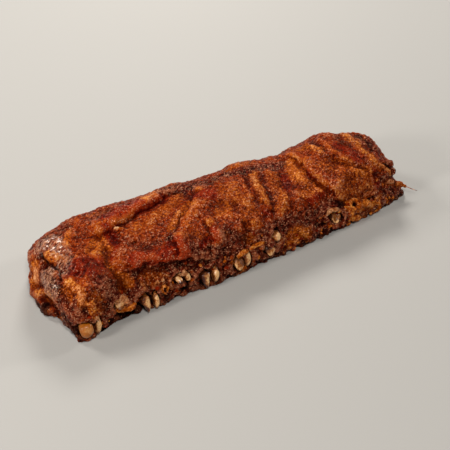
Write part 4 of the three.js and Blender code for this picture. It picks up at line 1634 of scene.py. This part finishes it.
class Scraps:
    """The shreds and crumbs on the skin, and the fibres at the right end."""

    SIDES = 12
    CRUMBS = 280
    CRUMBS_WEAR = (DARK, DARK, WET, FATTY, ())
    WISP_STEPS = 22

    # How far the lowest crumbs stay above the floor.
    CLEARANCE = 0.02

    def __init__(self, meat: Meat) -> None:
        """Keeps the meat that they grow on."""
        self.meat = meat

    def shred(self, shred: Shred, seed: int) -> Mesh:
        """Makes one shred.

        Args:
            shred: the shred.
            seed: another seed gives it other bumps.

        Returns:
            Its points and the corner numbers of each face.
        """
        steps = 6 + 4 * len(shred.stations)
        places, normals = self.meat.surface(shred.side, shred.stations, steps)
        for _ in range(2):
            places[1:-1] = (places[:-2] + 2.0 * places[1:-1] + places[2:]) / 4.0
        run = np.gradient(places, axis=0)
        across = np.cross(run, normals)
        across /= np.maximum(np.linalg.norm(across, axis=1), 1e-6)[:, None]
        turn = around(self.SIDES)
        rings = []
        for step in range(steps):
            size = math.sqrt(max(0.02, 1.0 - abs(2.0 * step / (steps - 1) - 1.0) ** 3))
            ring = np.outer(np.cos(turn) * size * shred.width / 2.0, across[step])
            ring += np.outer(np.sin(turn) * size * shred.height + shred.lift, normals[step])
            rings.append(places[step] + ring)
        points, faces = tube(rings)
        return points + 0.16 * shred.width * shake(points, 3.0, seed, seed + 31, seed + 67), faces

    def wisp(self, wisp: Wisp) -> Mesh:
        """Makes one torn fibre.

        Args:
            wisp: the fibre.

        Returns:
            Its points and the corner numbers of each face.
        """
        start = self.meat.surface(wisp.side, (wisp.station, wisp.station), 2)[0][0]
        share = np.linspace(0.0, 1.0, self.WISP_STEPS)
        places, tangents = thread(start + np.array(wisp.run, float), share)
        across = np.cross(tangents, (0.0, 0.0, 1.0))
        across /= np.linalg.norm(across, axis=1)[:, None]
        upwards = np.cross(across, tangents)
        turn = around(self.SIDES)
        rings = []
        for step in range(self.WISP_STEPS):
            radius = (wisp.root + (wisp.tip - wisp.root) * share[step] ** 0.6) / 2.0
            ring = np.outer(np.cos(turn), across[step]) + np.outer(np.sin(turn), upwards[step])
            rings.append(places[step] + ring * radius)
        points, faces = tube(rings)
        return points + 0.12 * wisp.root * shake(points, 2.5, 3, 37, 71), faces

    def build(self) -> Piece:
        """Makes all shreds, crumbs and fibres as one piece.

        Returns:
            The piece.
        """
        chance = np.random.default_rng(SEED)
        shreds = list(SHREDS)
        for _ in range(self.CRUMBS):
            x, b = chance.uniform(-176, 172), chance.triangular(0.03, 0.08, 0.27)
            dx, db = chance.normal(0.0, 1.6), chance.normal(0.0, 0.008)
            width, height = chance.uniform(1.5, 4.2), chance.uniform(0.4, 1.4)
            worn = self.CRUMBS_WEAR[chance.integers(len(self.CRUMBS_WEAR))]
            shreds.append(Shred("crumb", ((x, b), (x + dx, b + db)), width, height, worn))
        pieces = [(self.shred(shred, seed), dict(shred.worn)) for seed, shred in enumerate(shreds)]
        pieces += [(self.wisp(wisp), {Finish.FAT: 0.5}) for wisp in WISPS]
        parts, faces, start = [], [], 0
        marks = {finish.value: [] for finish in Finish}
        for (points, corners), worn in pieces:
            parts.append(points)
            faces += [[corner + start for corner in face] for face in corners]
            start += len(points)
            for finish in Finish:
                marks[finish.value].append(np.full(len(points), worn.get(finish, 0.0)))
        values = {name: np.concatenate(value) for name, value in marks.items()}
        points = np.vstack(parts)
        values["relief"] = np.clip(0.68 + 0.5 * waves(points, 3.5, 91), 0.0, 1.0)
        points[:, 2] = np.maximum(points[:, 2], self.CLEARANCE)
        return make_object("shreds", points, faces, values)


class Graph:
    """Adds shader nodes to a tree and joins them."""

    def __init__(self, tree: bpy.types.NodeTree) -> None:
        """Keeps the tree."""
        self.tree = tree

    def join(self, node: Node, inputs: Inputs) -> None:
        """Sets a node's inputs.

        Args:
            node: the node.
            inputs: a value or another node's socket for each of them.
        """
        for name, value in inputs.items():
            if isinstance(value, Socket):
                self.tree.links.new(value, node.inputs[name])
            else:
                node.inputs[name].default_value = value

    def add(self, kind: str, inputs: Inputs, **settings: object) -> Node:
        """Adds a node.

        Args:
            kind: the node's type.
            inputs: a value or another node's socket for each named input.
            settings: the node's own settings.

        Returns:
            The node.
        """
        node = self.tree.nodes.new(kind)
        for name, value in settings.items():
            setattr(node, name, value)
        self.join(node, inputs)
        return node

    def math(self, operation: str, first: Value, second: Value = 0.0, clamp: bool = False) -> Socket:
        """The result of one sum."""
        node = self.add("ShaderNodeMath", {0: first, 1: second}, operation=operation, use_clamp=clamp)
        return node.outputs[0]

    def ramp(self, value: Value, low: float, high: float, start: float = 0.0, end: float = 1.0) -> Socket:
        """A smooth step from start, where value is low, to end, where it is high."""
        inputs = {"Value": value, "From Min": low, "From Max": high, "To Min": start, "To Max": end}
        return self.add("ShaderNodeMapRange", inputs, interpolation_type="SMOOTHSTEP").outputs[0]

    def mix(self, share: Value, first: Paint, second: Paint) -> Socket:
        """Two colours mixed."""
        first, second = ((*c, 1.0) if isinstance(c, tuple) else c for c in (first, second))
        return self.add("ShaderNodeMix", {0: share, 6: first, 7: second}, data_type="RGBA").outputs[2]

    def total(self, *parts: tuple[Value, float], start: float = 0.0) -> Socket:
        """Adds values times their weights.

        Args:
            parts: each value with its weight.
            start: what is added to them.

        Returns:
            The sum, kept between 0 and 1.
        """
        result: Value = start
        for value, weight in parts:
            node = self.add("ShaderNodeMath", {0: value, 1: weight, 2: result}, operation="MULTIPLY_ADD")
            result = node.outputs[0]
        return self.math("ADD", result, 0.0, clamp=True)

    def tones(self, tone: Value, colours: Sequence[Colour]) -> Socket:
        """Adds a colour ramp.

        Args:
            tone: the value that it is read at, from 0 to 1.
            colours: its colours from the darkest, evenly spaced.

        Returns:
            The colour.
        """
        node = self.add("ShaderNodeValToRGB", {0: tone})
        stops = node.color_ramp.elements
        while len(stops) < len(colours):
            stops.new(0.5)
        for index, colour in enumerate(colours):
            stops[index].position = index / (len(colours) - 1)
            stops[index].color = (*colour, 1.0)
        return node.outputs[0]

    def mark(self, name: str) -> Socket:
        """A named value of the mesh."""
        node = self.add("ShaderNodeAttribute", {}, attribute_type="GEOMETRY", attribute_name=name)
        return node.outputs["Fac"]

    def millimetres(self) -> Socket:
        """Places on the object, in millimetres."""
        place = self.add("ShaderNodeTexCoord", {}).outputs["Object"]
        return self.add("ShaderNodeVectorMath", {0: place, 3: 1.0 / MM}, operation="SCALE").outputs[0]


class GroupGraph(Graph):
    """A graph on a new shader node group, whose first two inputs are Where and Size."""

    NOISE_ROUGHNESS = 0.6

    def __init__(self, name: str, inputs: dict[str, float], outputs: Sequence[str]) -> None:
        """Starts the group.

        Args:
            name: its name.
            inputs: names and defaults of its number inputs, Size first.
            outputs: names of its number outputs.
        """
        super().__init__(bpy.data.node_groups.new(name, "ShaderNodeTree"))
        sockets = self.tree.interface
        sockets.new_socket("Where", in_out="INPUT", socket_type="NodeSocketVector")
        for key, value in inputs.items():
            socket = sockets.new_socket(key, in_out="INPUT", socket_type="NodeSocketFloat")
            socket.default_value = value
        for key in outputs:
            sockets.new_socket(key, in_out="OUTPUT", socket_type="NodeSocketFloat")
        self.given = self.tree.nodes.new("NodeGroupInput")
        self.result = self.tree.nodes.new("NodeGroupOutput")

    def where(self) -> Socket:
        """Divides the places that the group is given by its size.

        Returns:
            The places.
        """
        share = self.math("DIVIDE", 1.0, self.given.outputs["Size"])
        inputs = {0: self.given.outputs["Where"], 3: share}
        return self.add("ShaderNodeVectorMath", inputs, operation="SCALE").outputs[0]

    def noise(self, where: Socket, detail: float, distortion: float = 0.0) -> Socket:
        """Adds soft noise whose swells are about 1 wide.

        Args:
            where: where it is read.
            detail: how many sizes of finer swells it has.
            distortion: how far it is stirred.

        Returns:
            Its value, from 0 to 1.
        """
        inputs = {"Vector": where, "Scale": 1.0, "Detail": detail, "Distortion": distortion}
        inputs["Roughness"] = self.NOISE_ROUGHNESS
        return self.add("ShaderNodeTexNoise", inputs).outputs["Fac"]


def add_grains() -> None:
    """Makes the group of round grains of rub: their height, the pits between them, and the ones that glint,
    which the meat makes shinier and also paints as highlights.
    """
    graph = GroupGraph(GRAINS, {"Size": 1.6, "Roughness": 0.5}, ("Height", "Pits", "Bright"))
    where = graph.where()
    grain = graph.add("ShaderNodeTexVoronoi", {"Vector": where, "Scale": 1.0, "Randomness": 1.0})
    cells = grain.outputs["Distance"]
    tops = graph.math("MULTIPLY", graph.ramp(cells, 0.75, 0.05), 0.7)
    cloudy = graph.noise(where, 3.0)
    rough = graph.math("MULTIPLY", cloudy, graph.given.outputs["Roughness"])
    chance = graph.add("ShaderNodeSeparateColor", {"Color": grain.outputs["Color"]}).outputs["Red"]
    graph.join(graph.result, {
        "Height": graph.math("ADD", tops, rough),
        "Pits": graph.math("MULTIPLY", graph.ramp(cells, 0.45, 0.85), graph.ramp(cloudy, 0.62, 0.4)),
        "Bright": graph.math("MULTIPLY", graph.ramp(cells, 0.6, 0.25), graph.ramp(chance, 0.45, 0.95)),
    })


def add_mottle() -> None:
    """Makes the group of uneven clouds of one size with finer clouds in them."""
    graph = GroupGraph(MOTTLE, {"Size": 8.0, "Contrast": 1.0}, ("Mask",))
    uneven = graph.math("SUBTRACT", graph.noise(graph.where(), 4.0, 0.4), 0.5)
    contrast = graph.math("MULTIPLY", graph.given.outputs["Contrast"], 3.0)
    spread = graph.math("MULTIPLY", uneven, contrast)
    graph.join(graph.result, {"Mask": graph.math("ADD", spread, 0.5, clamp=True)})


class MaterialGraph(Graph):
    """A graph on a new material."""

    def __init__(self, name: str) -> None:
        """Starts the material.

        Args:
            name: its name.
        """
        self.material = bpy.data.materials.new(name)
        self.material.use_nodes = True
        super().__init__(self.material.node_tree)
        self.shader = self.tree.nodes["Principled BSDF"]

    def grains(self, where: Socket, size: float, roughness: float) -> Node:
        """Grains of one size in millimetres."""
        inputs = {"Where": where, "Size": size, "Roughness": roughness}
        return self.add("ShaderNodeGroup", inputs, node_tree=bpy.data.node_groups[GRAINS])

    def mottle(self, where: Socket, size: float, contrast: float) -> Socket:
        """Clouds of one size in millimetres."""
        inputs = {"Where": where, "Size": size, "Contrast": contrast}
        return self.add("ShaderNodeGroup", inputs, node_tree=bpy.data.node_groups[MOTTLE]).outputs["Mask"]

    def bump(self, height: Socket, strength: float, depth: float) -> Socket:
        """Normals bent by a height, up to a depth in millimetres."""
        inputs = {"Height": height, "Strength": strength, "Distance": depth * MM}
        return self.add("ShaderNodeBump", inputs).outputs[0]


@dataclass(frozen=True)
class MeatFinish:
    """The look of glazed, browned meat. Each colour has a dark, a middle and a light tone.

    Attributes:
        crust: the browned crust.
        bark: the dark crust of the slopes.
        glaze: the wet red.
        fat: rendered fat.
        pale: bare fat and gristle.
        char: burnt spots, and painted shade in the hollows, pits, gaps round the bones and along the foot.
        painted_glint: the one colour of the painted highlights: the glints and wet streaks mixed into the
            base colour.
        gleam: the tint of light that the skin throws back.
    """

    crust: Tones = ((0.07, 0.004, 0.0005), (0.35, 0.035, 0.0015), (0.66, 0.15, 0.018))
    bark: Tones = ((0.024, 0.001, 0.0006), (0.155, 0.017, 0.0075), (0.46, 0.14, 0.065))
    glaze: Tones = ((0.06, 0.0015, 0.0005), (0.27, 0.011, 0.001), (0.43, 0.042, 0.008))
    fat: Tones = ((0.16, 0.018, 0.001), (0.5, 0.105, 0.006), (0.88, 0.35, 0.07))
    pale: Tones = ((0.35, 0.08, 0.02), (0.68, 0.25, 0.09), (0.9, 0.5, 0.26))
    char: Tones = ((0.01, 0.001, 0.0005), (0.024, 0.0025, 0.0012), (0.09, 0.02, 0.008))
    painted_glint: Colour = (0.88, 0.42, 0.23)
    gleam: Colour = (1.0, 0.52, 0.3)

    # How far the streaks are turned from the rack's length, in radians, and how drawn out they are.
    RUN_ANGLE = -0.5
    RUN_SCALE = (0.35, 1.0, 1.0)

    def build(self) -> Material:
        """Makes the material, once the shared node groups are there.

        Returns:
            The material.
        """
        graph = MaterialGraph("glazed_meat")
        where = graph.millimetres()
        rub = graph.grains(where, 1.6, 0.8)
        glints = graph.grains(where, 1.35, 0.5).outputs["Bright"]
        inputs = {"Vector": where, "Angle": self.RUN_ANGLE}
        run = graph.add("ShaderNodeVectorRotate", inputs, rotation_type="Z_AXIS").outputs[0]
        run = graph.add("ShaderNodeVectorMath", {0: run, 1: self.RUN_SCALE}, operation="MULTIPLY").outputs[0]
        streaks = graph.mottle(run, 1.5, 1.3)
        patches = graph.mottle(where, 22.0, 0.9)
        clouds = graph.mottle(where, 8.0, 1.0)
        flecks = graph.mottle(where, 1.8, 1.5)
        relief = graph.mark("relief")
        gloss = graph.mark("gloss")

        def worn(name: str, spread: float = 0.55, full: float = 0.75, most: float = 1.0) -> Socket:
            """A stain's mask with a broken edge."""
            rough = graph.math("MULTIPLY", graph.math("SUBTRACT", flecks, 0.5), spread)
            return graph.ramp(graph.math("ADD", graph.mark(name), rough), 0.15, full, end=most)

        # The relief darkens the tone in creases and pits and lightens it on ridges: painted shade and painted
        # light, with some real darkening where sauce gathers in the pits.
        tone = graph.total(
            (patches, 0.25), (clouds, 0.26), (flecks, 0.37), (streaks, 0.3), (relief, 1.0),
            (rub.outputs["Pits"], -0.42), start=-0.68,
        )
        layers = (
            (worn("bark"), self.bark),
            (worn("glaze", most=0.9), self.glaze),
            (worn("fat", 0.4, 0.95, most=0.95), self.fat),
            (worn("pale", 0.3), self.pale),
            (worn("char", 0.3), self.char),
        )
        colour = graph.tones(tone, self.crust)
        for mask, tones in layers:
            colour = graph.mix(mask, colour, graph.tones(tone, tones))
        # Glints and wet streaks are painted into the base colour as highlights, fainter where the tone is
        # dark. The glints also raise the real specular below.
        share = graph.total((graph.ramp(tone, 0.1, 0.7), 0.75), (graph.mark("bark"), 0.25), start=0.25)
        lit = graph.math("MULTIPLY", glints, share)
        wet = graph.math("MULTIPLY", gloss, graph.ramp(streaks, 0.28, 0.72))
        bare = (("fat", -0.3), ("pale", -0.5), ("char", -0.8), ("glaze", -0.25), ("gloss", -0.25))
        hidden = [(graph.mark(name), weight) for name, weight in bare]
        shine = graph.total((lit, 1.15), (wet, 1.0), *hidden)
        colour = graph.mix(graph.math("MULTIPLY", shine, 0.76), colour, self.painted_glint)

        lined = graph.math("MULTIPLY", streaks, graph.ramp(gloss, 0.0, 1.0, 0.9, 1.8))
        height = graph.math("MULTIPLY", rub.outputs["Height"], graph.ramp(gloss, 0.0, 1.0, 1.0, 0.3))
        flat = graph.math("SUBTRACT", 1.0, graph.math("MULTIPLY", worn("fat"), 0.5))
        height = graph.math("MULTIPLY", graph.math("ADD", height, lined), flat)
        graph.join(graph.shader, {
            "Base Color": colour,
            "Normal": graph.bump(height, 1.0, 1.4),
            "Specular IOR Level": graph.total((lit, 0.7), (gloss, 0.5), start=0.05),
            "Specular Tint": (*self.gleam, 1.0),
            "Roughness": graph.total((glints, -0.12), (gloss, -0.08), start=0.36),
            "Coat Weight": wet,
            "Coat Roughness": 0.25,
        })
        return graph.material


@dataclass(frozen=True)
class BoneFinish:
    """The look of cooked bone.

    Attributes:
        cream: its bare colour, and painted light on the lit side of a head.
        tan: where juice has stained it, darker where it is burnt.
        amber: the marrow.
        brown: its burnt edges, and painted shade on the side of a head turned from the light.
    """

    cream: Colour = (0.78, 0.45, 0.2)
    tan: Colour = (0.38, 0.12, 0.025)
    amber: Colour = (0.4, 0.115, 0.006)
    brown: Colour = (0.05, 0.009, 0.003)

    def build(self) -> Material:
        """Makes the material, once the shared node groups are there.

        Returns:
            The material.
        """
        graph = MaterialGraph("cooked_bone")
        where = graph.millimetres()
        pores = graph.grains(where, 0.9, 0.6)
        clouds = graph.mottle(where, 4.0, 1.0)
        fine = graph.mottle(where, 1.4, 1.2)
        marrow = graph.mark("marrow")
        # Paler where the bone is bare and where it is painted lit, browner where it is burnt and where it is
        # painted in shade.
        bare = graph.total((graph.mark("clean"), 1.15), (clouds, 0.75), (fine, 0.6), start=-0.85)
        colour = graph.tones(bare, (self.brown, self.tan, self.cream))
        gristle = graph.total((graph.mark("amber"), 1.15), (clouds, -0.3), (fine, -0.2))
        colour = graph.mix(gristle, colour, self.amber)
        core = graph.mix(graph.mark("warm"), self.brown, self.amber)
        colour = graph.mix(graph.ramp(marrow, 0.2, 0.8), colour, core)
        stained = graph.math("MULTIPLY", pores.outputs["Pits"], graph.ramp(marrow, 0.0, 1.0, 0.25, 0.8))
        height = graph.math("MULTIPLY", pores.outputs["Height"], graph.ramp(marrow, 0.0, 1.0, 0.25, 1.0))
        graph.join(graph.shader, {
            "Base Color": graph.mix(stained, colour, self.brown),
            "Normal": graph.bump(height, 0.7, 0.4),
            "Roughness": graph.ramp(clouds, 0.0, 1.0, 0.34, 0.5),
            "Specular IOR Level": 0.25,
            "Coat Weight": 0.4,
            "Coat Roughness": 0.16,
        })
        return graph.material


@dataclass(frozen=True)
class Lamp:
    """A soft square light that faces the rack.

    Attributes:
        name: its name.
        place: where it stands, in metres.
        size: its width in metres.
        power: its power in watts.
        colour: its colour.
    """

    name: str
    place: Triple
    size: float
    power: float
    colour: Colour = (1.0, 0.94, 0.85)

    def build(self) -> None:
        """Makes the light."""
        lamp = bpy.data.lights.new(self.name, "AREA")
        lamp.shape = "RECTANGLE"
        lamp.size = lamp.size_y = self.size
        lamp.energy = self.power
        lamp.color = self.colour
        light = bpy.data.objects.new(self.name, lamp)
        light.location = self.place
        light.rotation_euler = (-Vector(self.place)).to_track_quat("-Z", "Y").to_euler()
        bpy.context.scene.collection.objects.link(light)


LAMPS = (
    Lamp("key", (0.5, 1.05, 0.85), 0.4, 14.0),
    Lamp("rim", (-0.65, 0.9, 0.8), 0.3, 8.0),
    Lamp("left", (-1.2, -0.1, 0.6), 0.25, 9.0),
    Lamp("side", (1.2, -0.1, 0.6), 0.25, 6.0),
    Lamp("fill", (-0.35, -0.85, 1.3), 0.25, 12.6),
)


@dataclass(frozen=True)
class Studio:
    """The floor, the lights and the camera.

    Attributes:
        azimuth: where the camera stands, in degrees round from the near side.
        elevation: its angle above the floor.
        distance: its distance from what it looks at.
        lens: its focal length in millimetres.
        target: what it looks at.
        floor_half: half of the floor's width, in metres.
        floor_colour: the floor's colour.
        floor_roughness: how matt the floor is.
        air: the colour of the room's own light.
        air_strength: how strong that is.
    """

    azimuth: float = -30.0
    elevation: float = 39.0
    distance: float = 1000.0
    lens: float = 87.0
    target: Triple = (-7.0, -10.0, 25.0)
    floor_half: float = 6.0
    floor_colour: Colour = (0.4, 0.4, 0.4)
    floor_roughness: float = 0.7
    air: Colour = (0.85, 0.87, 0.9)
    air_strength: float = 0.02

    def build(self) -> None:
        """Makes all of it."""
        self.camera()
        self.floor()
        for lamp in LAMPS:
            lamp.build()
        world = bpy.data.worlds.new("soft_room")
        world.use_nodes = True
        background = world.node_tree.nodes["Background"]
        background.inputs["Color"].default_value = (*self.air, 1.0)
        background.inputs["Strength"].default_value = self.air_strength
        bpy.context.scene.world = world
        bpy.context.scene.view_settings.view_transform = "Standard"

    def camera(self) -> None:
        """Makes the camera at the photograph's angle."""
        lens = bpy.data.cameras.new("camera")
        lens.lens = self.lens
        camera = bpy.data.objects.new("camera", lens)
        turn, rise = math.radians(self.azimuth), math.radians(self.elevation)
        level = math.cos(rise)
        back = Vector((math.sin(turn) * level, -math.cos(turn) * level, math.sin(rise)))
        camera.location = Vector((np.array(self.target) + SHIFT) * MM) + back * self.distance * MM
        camera.rotation_euler = (-back).to_track_quat("-Z", "Y").to_euler()
        bpy.context.scene.collection.objects.link(camera)
        bpy.context.scene.camera = camera

    def floor(self) -> None:
        """Makes the pale floor."""
        mesh = bpy.data.meshes.new("floor")
        half = self.floor_half
        corners = [(-half, -half, 0), (half, -half, 0), (half, half, 0), (-half, half, 0)]
        mesh.from_pydata(corners, [], [(0, 1, 2, 3)])
        floor = bpy.data.objects.new("floor", mesh)
        graph = MaterialGraph("pale_floor")
        graph.join(graph.shader, {"Base Color": (*self.floor_colour, 1.0), "Roughness": self.floor_roughness})
        mesh.materials.append(graph.material)
        bpy.context.scene.collection.objects.link(floor)


def main() -> None:
    """Builds the rack, its finishes and the studio."""
    logging.basicConfig(level=logging.INFO, format="%(name)s: %(message)s")
    Studio().build()
    add_grains()
    add_mottle()
    glazed, bone = MeatFinish().build(), BoneFinish().build()
    meat = Meat()
    settle(meat.build(), glazed, "meat", "meat")
    ribs = Ribs(meat.slab, RibForm())
    for index in range(len(RIBS)):
        settle(ribs.build(index), bone, "bone", f"rib_bone_{index + 1:02d}")
    buttons = Buttons(meat.slab)
    for button in BUTTONS:
        settle(buttons.build(button), bone, "bone", f"button_bone_{button.rib:02d}")
    settle(Scraps(meat).build(), glazed, "meat")


if __name__ == "__main__":
    main()
